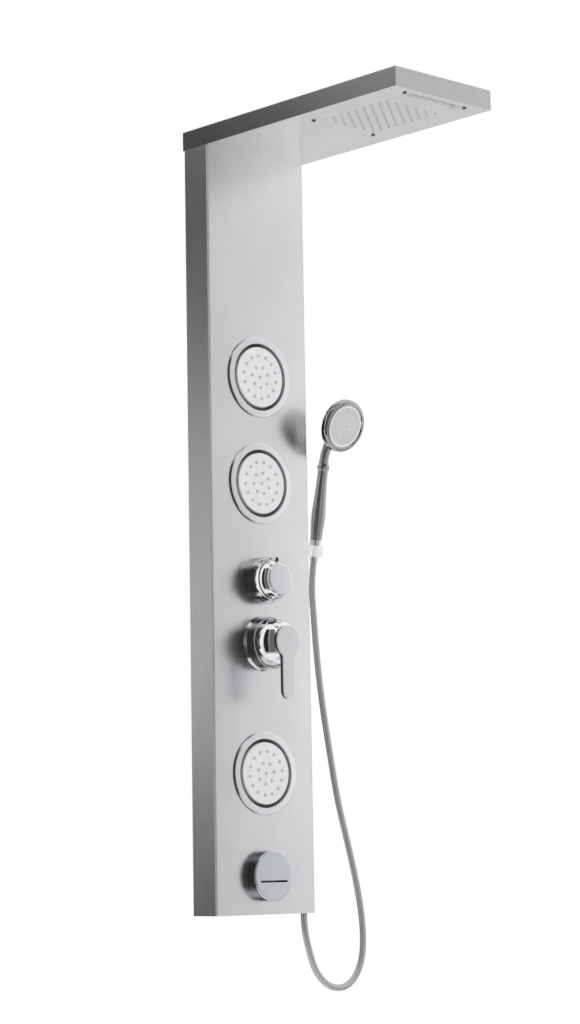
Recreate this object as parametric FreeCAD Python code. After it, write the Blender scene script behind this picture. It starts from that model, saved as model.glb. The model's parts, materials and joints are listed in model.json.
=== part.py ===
import FreeCAD, Part
import math
import os

# Shower panel column. Millimetres; +X is right seen from the front, +Y points into the wall, +Z is up.
# The origin is the middle of the upper wall bracket's screw line, on the wall plane.

Vector = FreeCAD.Vector

# ---------------------------------------------------------------- driving dimensions
PAST = 1.0                   # how far a cutting tool runs past the face it cuts
RUNNING = 0.05               # radial clearance of a shaft or ball that turns in its seat
SHADOW_GAP = 0.35            # radial gap between a knob or dome and the bell round it
HOLE_CLEARANCE = 0.5         # radial clearance of a fitting in its hole in the sheet
ARC_MIDDLE = 1.0 - math.sqrt(0.5)    # where a quarter round's middle lies, as a share of its radius

COLUMN_WIDTH = 200.0
COLUMN_HEIGHT = 1170.0
COLUMN_DEPTH = 56.0          # from the wall to the front face
WALL_GAP = 2.0               # the return lips stop this far from the wall
SHEET = 1.2
BEND_RADIUS = 2.5            # outside radius of the folded edges
RETURN_LIP = 15.0
SKIRT = 30.0                 # the bottom plate sits this far up inside the column
PLATE_FLANGE = 12.0
LEDGE = 22.0                 # tabs folded in at the top, which carry the head

UPPER_FIXING_DROP = 85.0     # upper screw line below the column's top
LOWER_FIXING_HEIGHT = 110.0  # lower screw line above the column's bottom
BRACKET_WIDTH = 150.0
BRACKET_SHEET = 2.0
BRACKET_BELOW = 18.0         # plate below the screw line
BRACKET_WEB_HEIGHT = 12.0    # top of the hook's web above the screw line
BRACKET_HOOK = 14.0          # height of the hook's lip above the web
BRACKET_HOLE_SPACING = 120.0
BRACKET_HOLE_RADIUS = 3.2
RAIL_SHEET = 2.0
RAIL_HEIGHT = 30.0
HOOK_GAP = 0.3               # between a hanging rail and the bracket's lip

HEAD_REACH = 463.0           # from the wall to the head's front
HEAD_THICKNESS = 30.0
HEAD_EDGE_RADIUS = 1.5
HEAD_FLANGE = 10.0           # upturned sides of the underside sheet
HEAD_SCREW_RADIUS = 2.5
HEAD_SCREW_INSET = 11.0      # from the ledge's outer edge to its screws
HEAD_SCREW_Y = (-16.0, -43.0)
HEAD_NUT_RADIUS = 4.6
HEAD_NUT_HEIGHT = 4.0
HEAD_SCREW_HEAD = 3.0        # height of the screw heads
HOSE_WINDOW_HALF = 60.0      # opening in the underside sheet over the column
HOSE_WINDOW_Y = (-46.0, -9.0)

RAIN_INSET = 195.0           # rearmost row of nozzles behind the head's front
RAIN_ROWS = 17
RAIN_ROW_PITCH = 8.0
RAIN_NOZZLES_IN_ROW = 6
RAIN_NOZZLE_PITCH = 20.0
RAIN_NOZZLE_RADIUS = 1.9
RAIN_NOZZLE_TIP_RADIUS = 1.33
RAIN_NOZZLE_PROUD = 1.5
RAIN_MAT = 2.0               # thickness of the nozzle mat
RAIN_MAT_EDGE = 6.0          # mat past the outermost nozzles
CHAMBER_HALF = 72.0
CHAMBER_TOP = 22.0           # height of the chambers above the head's underside
CHAMBER_WALL = 5.0
CHAMBER_CAVITY_TOP = 18.0
CHAMBER_SCREW_X = 62.0
CHAMBER_SCREW_INSETS = (209.0, 19.0)     # rear and front pair, behind the head's front
CHAMBER_SCREW_RADIUS = 1.6
CHAMBER_SCREW_HEAD = 3.2
CHAMBER_SCREW_PROUD = 1.6
CHAMBER_SCREW_DEPTH = 10.0
SLOT_HALF = 54.0             # waterfall slot, half its length
SLOT_INSET = 33.0            # slot's rear edge behind the head's front
SLOT_WIDTH = 18.0
SLIT = 2.5                   # narrow exit at the slot's rear edge
SLIT_RISE = 7.0              # height of the sloped lip at the slit
WATERFALL_INSETS = (47.0, 5.0)   # rear and front of its chamber, behind the head's front
WATERFALL_EAR = 20.0         # the right end that carries the hose nipple
HEAD_HOSE_LEVEL = 15.5       # hose centre above the head's underside

# What stands on the column's front, from below: the spout's axis, then the plain sheet between two rims.
SPOUT_HEIGHT = 57.5
SPOUT_TO_JET = 53.0
JET_TO_MIXER = 91.5
MIXER_TO_DIVERTER = 18.0
DIVERTER_TO_JET = 51.5
JET_TO_JET = 40.0

JET_TURNS = (18.0, 29.7, 8.0)     # turn of each nozzle pattern, degrees
JET_FACE_RADIUS = 47.2
JET_FACE_THICKNESS = 8.0
JET_FACE_EDGE = 1.5
JET_GROOVE = 4.8             # gap round the face
JET_RING_RADIUS = 62.5
JET_RING_EDGE = 1.4          # rounding of the ring's outer edge
JET_RING_LEAD = 0.4          # bevel of its inner edge
JET_PROUD = 3.2              # ring and face stand this far off the column
JET_SKIRT_WALL = 2.5
JET_SKIRT_LENGTH = 17.8
JET_NUT_RADIUS = 64.0
JET_NUT_HEIGHT = 7.0
JET_GASKET = 1.0
JET_GASKET_INSET = 1.0
JET_FLOOR = 3.0
JET_PLUG_WALL = 2.0
JET_POCKET_RADIUS = 40.0
JET_FRONT_WALL = 2.0
JET_MAT = 1.5
JET_FLANGE = 2.5             # stem flange that closes the face's pocket
JET_NOZZLE_RADIUS = 2.2
JET_NOZZLE_PROUD = 1.0
JET_NOZZLE_RINGS = (0.0, 16.0, 33.0)
JET_NOZZLE_COUNTS = (1, 7, 14)
JET_BALL_RADIUS = 9.0
JET_BALL_BEHIND = 12.0       # ball centre behind the face's back
JET_NECK_RADIUS = 4.5
JET_WATERWAY = 2.0
JET_CUP_WALL = 3.5
JET_CUP_HALF = 6.0           # half the length of the ball seat along the axis
JET_SOCKET_WALL = 4.5
JET_SOCKET_BACK = 2.25       # wall behind the ball
TEE_RADIUS = 7.0
TEE_HALF = 14.0

HOSE_PLANE = -22.0           # Y of the hoses behind the jets
FEED_RADIUS = 5.0            # hoses inside the column
BARB_END = 20.0              # from a jet's axis to the end of its hose barbs
LINE_FROM_PORT = 12.5        # riser and waterfall hoses outside their ports
LINE_FROM_CHAMBER = 10.0     # waterfall hose beside the rain chamber
LINE_FROM_NUT = 9.0          # hoses that pass beside the jets' nuts
CROSSING_ABOVE = 40.0        # the lower jet's hose comes to the middle this far above its barb
CROSSING_FALL = 30.0         # and falls this much on the way

DIVERTER_BODY_RADIUS = 20.0
DIVERTER_NECK_RADIUS = 16.5
DIVERTER_BELL_RADIUS = 36.0
DIVERTER_BELL_STRAIGHT = 8.0     # straight part of the bell in front of the column
DIVERTER_BELL_SHOULDER = (35.3, 19.5)   # radius and distance in front of the column
DIVERTER_BELL_MOUTH = (32.6, 28.0)
KNOB_RADIUS = 31.0
KNOB_STRAIGHT = 29.0         # straight part of the knob ends this far in front of the column
KNOB_SHOULDER = (28.5, 34.4)     # radius and distance in front of the column
KNOB_WAIST = (24.2, 39.2)
KNOB_NOSE_RADIUS = 23.8
KNOB_PROUD = 43.0            # knob's face in front of the column
KNOB_SUNK = 6.0              # knob's back inside the bell
KNOB_EDGE = 2.8
INDEX_PIN_RADIUS = 2.2
INDEX_PIN_BEHIND = 8.0       # pin behind the knob's face
INDEX_PIN_TOP = 33.0         # pin's end above the knob's axis
INDEX_PIN_LENGTH = 10.0
DIVERTER_CARTRIDGE_RADIUS = 14.0
DIVERTER_SPINDLE_RADIUS = 6.0
DIVERTER_TIP_RADIUS = 4.0
PORT_REACH = 12.0            # length of a port past its body
PORT_ANGLES = {"riser": 135.0, "waterfall": 45.0, "jets_up": 90.0, "jets_down": 180.0, "spout": 325.0}

MIXER_BODY_RADIUS = 26.0
MIXER_NECK_RADIUS = 21.0
MIXER_BELL_RADIUS = 42.0
MIXER_BELL_WALL = 1.4
MIXER_BELL_EDGE = 1.1
MIXER_BELL_FRONT = 25.0
DOME_RADIUS = 38.4
DOME_WALL = 3.0
DOME_CENTRE = 22.3           # dome centre, and the lever's pivot, in front of the column
DOME_SKIRT_ANGLE = 10.0      # the dome runs this far behind its equator, degrees
PADDLE_PROUD = 58.3          # paddle's face in front of the column
PADDLE_THICKNESS = 5.7
PADDLE_HEAD_RADIUS = 24.4
PADDLE_BAR_WIDTH = 25.4
PADDLE_DROP = 87.0           # from the axis to the bar's lower end
PADDLE_BLEND = 10.0
PADDLE_EDGE = 1.2
CARTRIDGE_RADIUS = 17.5
CARTRIDGE_BOSS_RADIUS = 12.0
CARTRIDGE_BOSS = 4.0
CARTRIDGE_LENGTH = 32.0
CARTRIDGE_PROUD = 6.0        # cartridge shoulder in front of the column
CARTRIDGE_NUT_WALL = 2.5
CARTRIDGE_NUT_FLOOR = 3.0
SPINDLE_RADIUS = 8.0
SPINDLE_SUNK = 14.0
SPINDLE_PROUD = 3.0          # spindle shoulder in front of the cartridge boss
TONGUE_HALF = 4.0
TONGUE_HEIGHT_HALF = 6.5
TONGUE_PAST_PIVOT = 5.0
LUG_GAP = 0.3
LUG_THICKNESS = 6.0
LUG_RADIUS = 7.0
PIVOT_PIN_RADIUS = 2.5
INLET_SPREAD = 34.0          # inlets to either side of the mixer's axis
INLET_ARM_RADIUS = 11.0
INLET_THREAD_RADIUS = 10.4
INLET_DROP = 38.0            # threads start this far below the mixer's axis
INLET_THREAD = 12.0
BODY_BACK = 8.0              # valve bodies stop this far from the wall
BODY_WALL = 4.0
BODY_FLOOR = 8.0
VALVE_NECK = 4.0             # valve necks in front of the column
BELL_WEB = 2.5
BELL_LIP = 2.5
LINK_RADIUS = 7.0
LINK_PORT_RADIUS = 8.0
LINK_PORT = 8.0
LINK_NUT_RADIUS = 10.5
LINK_NUT_OVERLAP = 5.0

SPOUT_RADIUS = 38.0
SPOUT_PROUD = 17.5
SPOUT_EDGE = 2.5
SPOUT_SLOT_HALF = 27.0
SPOUT_SLOT_HEIGHT = 3.0
SPOUT_SLOT_DROP = 8.2
SPOUT_SLOT_DEPTH = 12.0
SPOUT_TAIL_RADIUS = 10.0
SPOUT_BORE_RADIUS = 8.0
SPOUT_TAIL_END = -15.0
SPOUT_NUT_RADIUS = 16.0
SPOUT_NUT_HEIGHT = 7.0
SPOUT_PORT_REACH = 12.0

HOLDER_AXIS = (134.0, -33.0, 559.5)   # X, Y and height of the holder's centre
HOLDER_LEAN = 10.0           # the hand shower leans forward, degrees
HOLDER_HALF = 9.0            # half the holder's height along its axis
HOLDER_WALL = 3.3
HOLDER_SLOT_CLEARANCE = 0.4
HOLDER_ARM_HALF = 7.0
HOLDER_SCREW_RADIUS = 2.0
HOLDER_SCREW_HEAD = 3.5
HOLDER_SCREW_HEAD_HEIGHT = 2.5
HOLDER_SCREW_DEPTH = 11.0
HOLDER_SCREW_SPREAD = 5.0
CONE_SMALL_RADIUS = 6.3
CONE_LARGE_RADIUS = 9.45
CONE_BELOW = 16.0            # cone's small end below the holder's centre
CONE_COLLAR = 8.5            # collar above the cone
CONE_SOCKET_RADIUS = 7.5
CONE_SOCKET_DEPTH = 6.0

HANDLE_OUTLINE = ((9.0, 0.3), (9.6, 13.5), (11.0, 37.0), (9.8, 61.0), (8.8, 78.0), (8.2, 95.0), (8.1, 110.0))
COLLAR_RADIUS = 9.7
COLLAR_START = 111.5         # along the handle from its lower end
COLLAR_LENGTH = 5.0
COLLAR_TAPER = 4.0
NECK_START_RADIUS = 7.0
NECK_START = 128.0
NECK_STEPS = ((6.0, 150.0, 7.6, 16.0), (20.0, 168.5, 10.0, 30.0))  # forward, along, radius, lean in degrees
HEAD_FORWARD = 42.5          # handset's face centre in front of the handle's axis
HEAD_ALONG = 180.5           # and along the handle
HEAD_TILT = 10.0             # handset's face against the handle, degrees
HANDSET_RADIUS = 41.5
HANDSET_DEPTH = 24.0
HANDSET_BACK_MIDDLE = (30.0, 20.0)   # radius and depth on the curved back
HANDSET_RIM = 11.0
HANDSET_RIM_EDGE = 7.5
HANDSET_DISC_RADIUS = 33.0
HANDSET_DISC_SUNK = 2.0
HANDSET_DISC_THICKNESS = 5.0
HANDSET_HOLE_RADIUS = 0.5
HANDSET_HOLE_DEPTH = 1.5
HANDSET_HOLE_RINGS = (8.0, 16.0, 24.0)
HANDSET_HOLE_COUNTS = (6, 12, 18)

HOSE_DIAMETER = 10.0
HOSE_FOOT = (88.0, -43.0)    # X and Y where the hose meets the column
HOSE_FOOT_HEIGHT = 8.0
HOSE_LEAD = 34.0             # first run, straight out of the cone nut
# The hose's points after the first run: X, Y and height above the column's lower edge.
HOSE_ROUTE = (
    (138.0, -24.0, 459.0), (142.0, -25.0, 396.0), (150.0, -27.0, 321.0), (163.0, -29.0, 244.0),
    (176.0, -31.0, 169.0), (196.0, -33.0, 99.0), (213.0, -35.0, 31.0), (222.0, -36.0, -31.0),
    (216.0, -37.0, -82.0), (187.0, -38.0, -115.0), (147.0, -39.0, -117.0), (114.0, -40.0, -92.0),
    (97.0, -42.0, -53.0), (88.0, -43.0, -19.0),
)
OUTLET_THREAD_RADIUS = 8.3
OUTLET_NUT_RADIUS = 9.4
OUTLET_NUT_HEIGHT = 16.0
OUTLET_NUT_FLOOR = 4.0
OUTLET_FLANGE = 5.0
OUTLET_LOCKNUT_RADIUS = 10.0
OUTLET_LOCKNUT_HEIGHT = 5.0
OUTLET_BARB = 14.0

# ---------------------------------------------------------------- places worked out from them
LOWER_JET_HEIGHT = SPOUT_HEIGHT + SPOUT_RADIUS + SPOUT_TO_JET + JET_RING_RADIUS
MIXER_HEIGHT = LOWER_JET_HEIGHT + JET_RING_RADIUS + JET_TO_MIXER + MIXER_BELL_RADIUS
DIVERTER_HEIGHT = MIXER_HEIGHT + MIXER_BELL_RADIUS + MIXER_TO_DIVERTER + DIVERTER_BELL_RADIUS
MIDDLE_JET_HEIGHT = DIVERTER_HEIGHT + DIVERTER_BELL_RADIUS + DIVERTER_TO_JET + JET_RING_RADIUS
UPPER_JET_HEIGHT = MIDDLE_JET_HEIGHT + 2.0 * JET_RING_RADIUS + JET_TO_JET
JET_HEIGHTS = (UPPER_JET_HEIGHT, MIDDLE_JET_HEIGHT, LOWER_JET_HEIGHT)
HEAD_FRONT = -HEAD_REACH
RAIN_FIRST_Y = HEAD_FRONT + RAIN_INSET
CHAMBER_SCREW_Y = (HEAD_FRONT + CHAMBER_SCREW_INSETS[0], HEAD_FRONT + CHAMBER_SCREW_INSETS[1])
SLOT_REAR_Y = HEAD_FRONT + SLOT_INSET
WATERFALL_REAR_Y = HEAD_FRONT + WATERFALL_INSETS[0]
WATERFALL_FRONT_Y = HEAD_FRONT + WATERFALL_INSETS[1]
HALF = COLUMN_WIDTH / 2.0
FRONT = -COLUMN_DEPTH
INSIDE_FRONT = FRONT + SHEET
BACK = -WALL_GAP
INSIDE_BACK = BACK - SHEET
INSIDE_HALF = HALF - SHEET
INSIDE_CORNER = BEND_RADIUS - SHEET
TOP = UPPER_FIXING_DROP
BOTTOM = TOP - COLUMN_HEIGHT
HEAD_FLOOR = TOP + SHEET
RING_BORE = JET_FACE_RADIUS + JET_GROOVE
SKIRT_RADIUS = RING_BORE + JET_SKIRT_WALL
SKIRT_END = FRONT + JET_SKIRT_LENGTH
FACE_FRONT = FRONT - JET_PROUD
FACE_BACK = FACE_FRONT + JET_FACE_THICKNESS
BALL_Y = FACE_BACK + JET_BALL_BEHIND
CUP_RADIUS = JET_BALL_RADIUS + RUNNING + JET_CUP_WALL
SOCKET_RADIUS = CUP_RADIUS + RUNNING
PIVOT_Y = FRONT - DOME_CENTRE
SHOULDER_Y = FRONT - CARTRIDGE_PROUD
SPINDLE_FRONT = SHOULDER_Y - CARTRIDGE_BOSS
HANDLE_START = CONE_COLLAR + HOLDER_HALF


def level(height):
    """Z of a height above the column's lower edge."""
    return BOTTOM + height


# ---------------------------------------------------------------- shape helpers
def box(x0, x1, y0, y1, z0, z1):
    return Part.makeBox(x1 - x0, y1 - y0, z1 - z0, Vector(x0, y0, z0))


def upright_box(x0, x1, y0, y1, z0, z1, radius):
    """A box with its four upright edges rounded."""
    block = box(x0, x1, y0, y1, z0, z1)
    upright = [e for e in block.Edges if abs(e.tangentAt(e.FirstParameter).z) > 0.9]
    return block.makeFillet(radius, upright)


def rod(start, end, radius):
    start = Vector(*start)
    run = Vector(*end) - start
    return Part.makeCylinder(radius, run.Length, start, run)


def round_bar(x, z, front, back, radius):
    """A bar along Y from its front end to its back end."""
    return Part.makeCylinder(radius, back - front, Vector(x, front, z), Vector(0, 1, 0))


def washer(x, z, front, back, outer, inner):
    return round_bar(x, z, front, back, outer).cut(round_bar(x, z, front - PAST, back + PAST, inner))


def outline(steps):
    """A closed face from points, where a pair of points is an arc's middle and end."""
    def at(point):
        return Vector(point[0], point[1], 0)

    edges = []
    here = steps[0]
    for step in list(steps[1:]) + [steps[0]]:
        if isinstance(step[0], tuple):
            edges.append(Part.Arc(at(here), at(step[0]), at(step[1])).toShape())
            here = step[1]
        else:
            edges.append(Part.makeLine(at(here), at(step)))
            here = step
    return Part.Face(Part.Wire(edges))


def turned(steps, x=0.0, z=0.0):
    """A body of revolution about Y, from steps of radius and Y."""
    solid = outline(steps).revolve(Vector(0, 0, 0), Vector(0, 1, 0), 360)
    solid.translate(Vector(x, 0, z))
    return solid


def front_edge(radius, front, edge):
    """Steps of an outer edge that rounds over to a front face."""
    inset = edge * ARC_MIDDLE
    return [(radius, front + edge), ((radius - inset, front + inset), (radius - edge, front))]


def hex_nut(x, z, front, back, across, bore):
    corner = across / math.cos(math.pi / 6)
    points = [Vector(x + corner * math.cos(k * math.pi / 3), front, z + corner * math.sin(k * math.pi / 3))
              for k in range(7)]
    prism = Part.Face(Part.makePolygon(points)).extrude(Vector(0, back - front, 0))
    return prism.cut(round_bar(x, z, front - PAST, back + PAST, bore))


def joined(*shapes):
    return shapes[0].fuse(list(shapes[1:])).removeSplitter()


def turn_of(before, corner, after):
    """The directions into and out of a corner, and half of the turn between them."""
    arrive = (corner - before).normalize()
    leave = (after - corner).normalize()
    return arrive, leave, arrive.getAngle(leave) / 2.0


def bent_tube(points, radius, share=0.45):
    """A tube of straight runs joined by arcs that each take up a share of their shorter run."""
    points = [Vector(*p) for p in points]
    edges = []
    radii = []
    here = points[0]
    for before, corner, after in zip(points, points[1:], points[2:]):
        arrive, leave, half = turn_of(before, corner, after)
        setback = share * min((corner - before).Length, (after - corner).Length)
        bend = setback / math.tan(half)
        inward = (leave - arrive).normalize()
        middle = corner + inward * (bend / math.cos(half) - bend)
        arc_start = corner - arrive * setback
        arc_end = corner + leave * setback
        edges.append(Part.makeLine(here, arc_start))
        edges.append(Part.Arc(arc_start, middle, arc_end).toShape())
        radii.append(bend)
        here = arc_end
    edges.append(Part.makeLine(here, points[-1]))
    path = Part.Wire(edges)
    section = Part.Wire([Part.makeCircle(radius, points[0], points[1] - points[0])])
    tube = path.makePipeShell([section], True, False)
    return tube, path.Length, radii


def ring_places(radii, counts, turn=0.0):
    """Places of a pattern of rings, each with a radius and a count."""
    places = []
    for radius, count in zip(radii, counts):
        for k in range(count):
            angle = math.radians(turn) + 2.0 * math.pi * k / count
            places.append((radius * math.cos(angle), radius * math.sin(angle)))
    return places


def feed(points):
    """A hose inside the column."""
    return bent_tube(points, FEED_RADIUS)[0]


# ---------------------------------------------------------------- column, brackets and rails
def ledge_screw_places():
    x = INSIDE_HALF - HEAD_SCREW_INSET
    return [(side * x, y) for side in (-1, 1) for y in HEAD_SCREW_Y]


def column_shell():
    outer = upright_box(-HALF, HALF, FRONT, BACK, BOTTOM, TOP, BEND_RADIUS)
    inner = upright_box(-INSIDE_HALF, INSIDE_HALF, INSIDE_FRONT, INSIDE_BACK,
                        BOTTOM - PAST, TOP + PAST, INSIDE_CORNER)
    mouth = box(-HALF + RETURN_LIP, HALF - RETURN_LIP, INSIDE_BACK - PAST, BACK + PAST,
                BOTTOM - PAST, TOP + PAST)
    ledges = [box(min(side * INSIDE_HALF, side * (INSIDE_HALF - LEDGE)),
                  max(side * INSIDE_HALF, side * (INSIDE_HALF - LEDGE)),
                  INSIDE_FRONT + INSIDE_CORNER, INSIDE_BACK - INSIDE_CORNER, TOP - SHEET, TOP)
              for side in (-1, 1)]
    shell = joined(outer.cut([inner, mouth]), *ledges)
    holes = [round_bar(0, level(h), FRONT - PAST, INSIDE_FRONT + PAST, SKIRT_RADIUS + HOLE_CLEARANCE)
             for h in JET_HEIGHTS]
    for height, radius in ((DIVERTER_HEIGHT, DIVERTER_NECK_RADIUS), (MIXER_HEIGHT, MIXER_NECK_RADIUS),
                           (SPOUT_HEIGHT, SPOUT_TAIL_RADIUS)):
        holes.append(round_bar(0, level(height), FRONT - PAST, INSIDE_FRONT + PAST, radius + HOLE_CLEARANCE))
    for x, y in ledge_screw_places():
        holes.append(rod((x, y, TOP - SHEET - PAST), (x, y, TOP + PAST), HEAD_SCREW_RADIUS + HOLE_CLEARANCE))
    for place in holder_screw_places():
        hole = rod((INSIDE_HALF - PAST, place.y, place.z), (HALF + PAST, place.y, place.z),
                   HOLDER_SCREW_RADIUS + HOLE_CLEARANCE / 2.0)
        holes.append(hole)
    return shell.cut(holes)


def bottom_plate():
    z = level(SKIRT)
    plate = upright_box(-INSIDE_HALF, INSIDE_HALF, INSIDE_FRONT, INSIDE_BACK, z, z + SHEET, INSIDE_CORNER)
    flanges = [box(min(side * INSIDE_HALF, side * (INSIDE_HALF - SHEET)),
                   max(side * INSIDE_HALF, side * (INSIDE_HALF - SHEET)),
                   INSIDE_FRONT + INSIDE_CORNER, INSIDE_BACK - INSIDE_CORNER, z - PLATE_FLANGE, z)
               for side in (-1, 1)]
    x, y = HOSE_FOOT
    return joined(plate, *flanges).cut(rod((x, y, z - PAST), (x, y, z + SHEET + PAST), OUTLET_THREAD_RADIUS))


def fixing_levels():
    return (0.0, level(LOWER_FIXING_HEIGHT))


def hanging_rails():
    half = INSIDE_HALF - INSIDE_CORNER
    return Part.makeCompound([
        box(-half, half, INSIDE_BACK - RAIL_SHEET, INSIDE_BACK, z + BRACKET_WEB_HEIGHT,
            z + BRACKET_WEB_HEIGHT + RAIL_HEIGHT)
        for z in fixing_levels()])


def wall_bracket(z):
    half = BRACKET_WIDTH / 2.0
    lip_back = INSIDE_BACK - RAIL_SHEET - HOOK_GAP
    lip_front = lip_back - BRACKET_SHEET
    web = z + BRACKET_WEB_HEIGHT
    plate = box(-half, half, -BRACKET_SHEET, 0, z - BRACKET_BELOW, web)
    shelf = box(-half, half, lip_front, 0, web - BRACKET_SHEET, web)
    lip = box(-half, half, lip_front, lip_back, web - BRACKET_SHEET, web + BRACKET_HOOK)
    holes = [round_bar(side * BRACKET_HOLE_SPACING / 2.0, z, lip_front - PAST, PAST, BRACKET_HOLE_RADIUS)
             for side in (-1, 1)]
    return joined(plate, shelf, lip).cut(holes)


# ---------------------------------------------------------------- overhead shower
def rain_places():
    """Staggered nozzle places: every other row has one nozzle fewer."""
    places = []
    for row in range(RAIN_ROWS):
        count = RAIN_NOZZLES_IN_ROW - row % 2
        y = RAIN_FIRST_Y - row * RAIN_ROW_PITCH
        for k in range(count):
            places.append(((k - (count - 1) / 2.0) * RAIN_NOZZLE_PITCH, y))
    return places


def rain_field():
    """Half width, front and rear of the nozzle mat."""
    half = (RAIN_NOZZLES_IN_ROW - 1) / 2.0 * RAIN_NOZZLE_PITCH + RAIN_MAT_EDGE
    front = RAIN_FIRST_Y - (RAIN_ROWS - 1) * RAIN_ROW_PITCH - RAIN_MAT_EDGE
    return half, front, RAIN_FIRST_Y + RAIN_MAT_EDGE


def chamber_screw_places():
    return [(side * CHAMBER_SCREW_X, y) for side in (-1, 1) for y in CHAMBER_SCREW_Y]


def head_cover():
    block = box(-HALF, HALF, -HEAD_REACH, 0, TOP, TOP + HEAD_THICKNESS)
    edges = [e for e in block.Edges
             if e.BoundBox.ZMax > TOP + SHEET and e.BoundBox.YMin < -SHEET]
    block = block.makeFillet(HEAD_EDGE_RADIUS, edges)
    return block.cut(box(-INSIDE_HALF, INSIDE_HALF, -HEAD_REACH + SHEET, -SHEET,
                         TOP - PAST, TOP + HEAD_THICKNESS - SHEET))


def head_base():
    plate = box(-INSIDE_HALF, INSIDE_HALF, -HEAD_REACH + SHEET, -SHEET, TOP, HEAD_FLOOR)
    flanges = [box(min(side * INSIDE_HALF, side * (INSIDE_HALF - SHEET)),
                   max(side * INSIDE_HALF, side * (INSIDE_HALF - SHEET)),
                   -HEAD_REACH + SHEET, -SHEET, TOP, TOP + HEAD_FLANGE) for side in (-1, 1)]
    holes = [box(-HOSE_WINDOW_HALF, HOSE_WINDOW_HALF, HOSE_WINDOW_Y[0], HOSE_WINDOW_Y[1],
                 TOP - PAST, HEAD_FLOOR + PAST),
             box(-SLOT_HALF, SLOT_HALF, SLOT_REAR_Y - SLOT_WIDTH, SLOT_REAR_Y, TOP - PAST, HEAD_FLOOR + PAST)]
    drilled = [(place, RAIN_NOZZLE_RADIUS) for place in rain_places()]
    drilled += [(place, CHAMBER_SCREW_RADIUS) for place in chamber_screw_places()]
    drilled += [(place, HEAD_SCREW_RADIUS) for place in ledge_screw_places()]
    for (x, y), radius in drilled:
        holes.append(rod((x, y, TOP - PAST), (x, y, HEAD_FLOOR + PAST), radius))
    return joined(plate, *flanges).cut(holes)


def head_fixing_screws():
    screws = []
    for x, y in ledge_screw_places():
        under = TOP - SHEET
        shank = rod((x, y, under), (x, y, HEAD_FLOOR + HEAD_NUT_HEIGHT), HEAD_SCREW_RADIUS)
        head = rod((x, y, under - HEAD_SCREW_HEAD), (x, y, under), HEAD_NUT_RADIUS)
        screws.append(joined(shank, head))
    return Part.makeCompound(screws)


def head_fixing_nuts():
    nuts = []
    for x, y in ledge_screw_places():
        corner = [Vector(x + HEAD_NUT_RADIUS * math.cos(k * math.pi / 3),
                         y + HEAD_NUT_RADIUS * math.sin(k * math.pi / 3), HEAD_FLOOR) for k in range(7)]
        prism = Part.Face(Part.makePolygon(corner)).extrude(Vector(0, 0, HEAD_NUT_HEIGHT))
        bore = rod((x, y, HEAD_FLOOR - PAST), (x, y, HEAD_FLOOR + HEAD_NUT_HEIGHT + PAST), HEAD_SCREW_RADIUS)
        nuts.append(prism.cut(bore))
    return Part.makeCompound(nuts)


def chamber_screw_holes(y_wanted):
    """The blind holes for the two screws at one Y."""
    return [rod((x, y, TOP), (x, y, TOP + CHAMBER_SCREW_DEPTH), CHAMBER_SCREW_RADIUS)
            for x, y in chamber_screw_places() if y == y_wanted]


def rain_chamber():
    half, front, rear = rain_field()
    back = CHAMBER_SCREW_Y[0] + CHAMBER_WALL + CHAMBER_SCREW_HEAD
    block = box(-CHAMBER_HALF, CHAMBER_HALF, front - CHAMBER_WALL, back, HEAD_FLOOR, TOP + CHAMBER_TOP)
    seat = box(-half, half, front, rear, HEAD_FLOOR, HEAD_FLOOR + RAIN_MAT)
    rim = RAIN_MAT_EDGE / 2.0
    cavity = box(-half + rim, half - rim, front + rim, rear - rim, HEAD_FLOOR, TOP + CHAMBER_CAVITY_TOP)
    x, z = hose_line(-1), TOP + HEAD_HOSE_LEVEL
    nipple = rod((x, back, z), (x, back + PORT_REACH, z), FEED_RADIUS)
    return joined(block, nipple).cut([seat, cavity] + chamber_screw_holes(CHAMBER_SCREW_Y[0]))


def rain_nozzle_mat():
    half, front, rear = rain_field()
    mat = box(-half, half, front, rear, HEAD_FLOOR, HEAD_FLOOR + RAIN_MAT)
    nozzles = []
    for x, y in rain_places():
        tip = Part.makeCone(RAIN_NOZZLE_TIP_RADIUS, RAIN_NOZZLE_RADIUS, RAIN_NOZZLE_PROUD,
                            Vector(x, y, TOP - RAIN_NOZZLE_PROUD))
        nozzles += [rod((x, y, TOP), (x, y, HEAD_FLOOR), RAIN_NOZZLE_RADIUS), tip]
    return mat.fuse(nozzles)


def waterfall_chamber():
    right = CHAMBER_HALF + WATERFALL_EAR
    block = box(-CHAMBER_HALF, right, WATERFALL_FRONT_Y, WATERFALL_REAR_Y, HEAD_FLOOR, TOP + CHAMBER_TOP)
    slit_front = SLOT_REAR_Y - SLIT
    slit = box(-SLOT_HALF, SLOT_HALF, slit_front, SLOT_REAR_Y, TOP, TOP + CHAMBER_CAVITY_TOP - CHAMBER_WALL)
    cavity = box(-SLOT_HALF, right - CHAMBER_WALL, SLOT_REAR_Y - 2 * CHAMBER_WALL, SLOT_REAR_Y + CHAMBER_WALL,
                 TOP + SLIT_RISE + SHEET + SLIT, TOP + CHAMBER_CAVITY_TOP)
    toe = SLOT_REAR_Y - SLOT_WIDTH
    corners = [Vector(-SLOT_HALF, toe, TOP), Vector(-SLOT_HALF, slit_front, TOP + SLIT_RISE),
               Vector(-SLOT_HALF, slit_front, TOP), Vector(-SLOT_HALF, toe, TOP)]
    slope = Part.Face(Part.makePolygon(corners)).extrude(Vector(2 * SLOT_HALF, 0, 0))
    x, z = waterfall_line(), TOP + HEAD_HOSE_LEVEL
    nipple = rod((x, WATERFALL_REAR_Y, z), (x, WATERFALL_REAR_Y + PORT_REACH, z), FEED_RADIUS)
    return joined(block, nipple).cut([slit, cavity, slope] + chamber_screw_holes(CHAMBER_SCREW_Y[1]))


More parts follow.
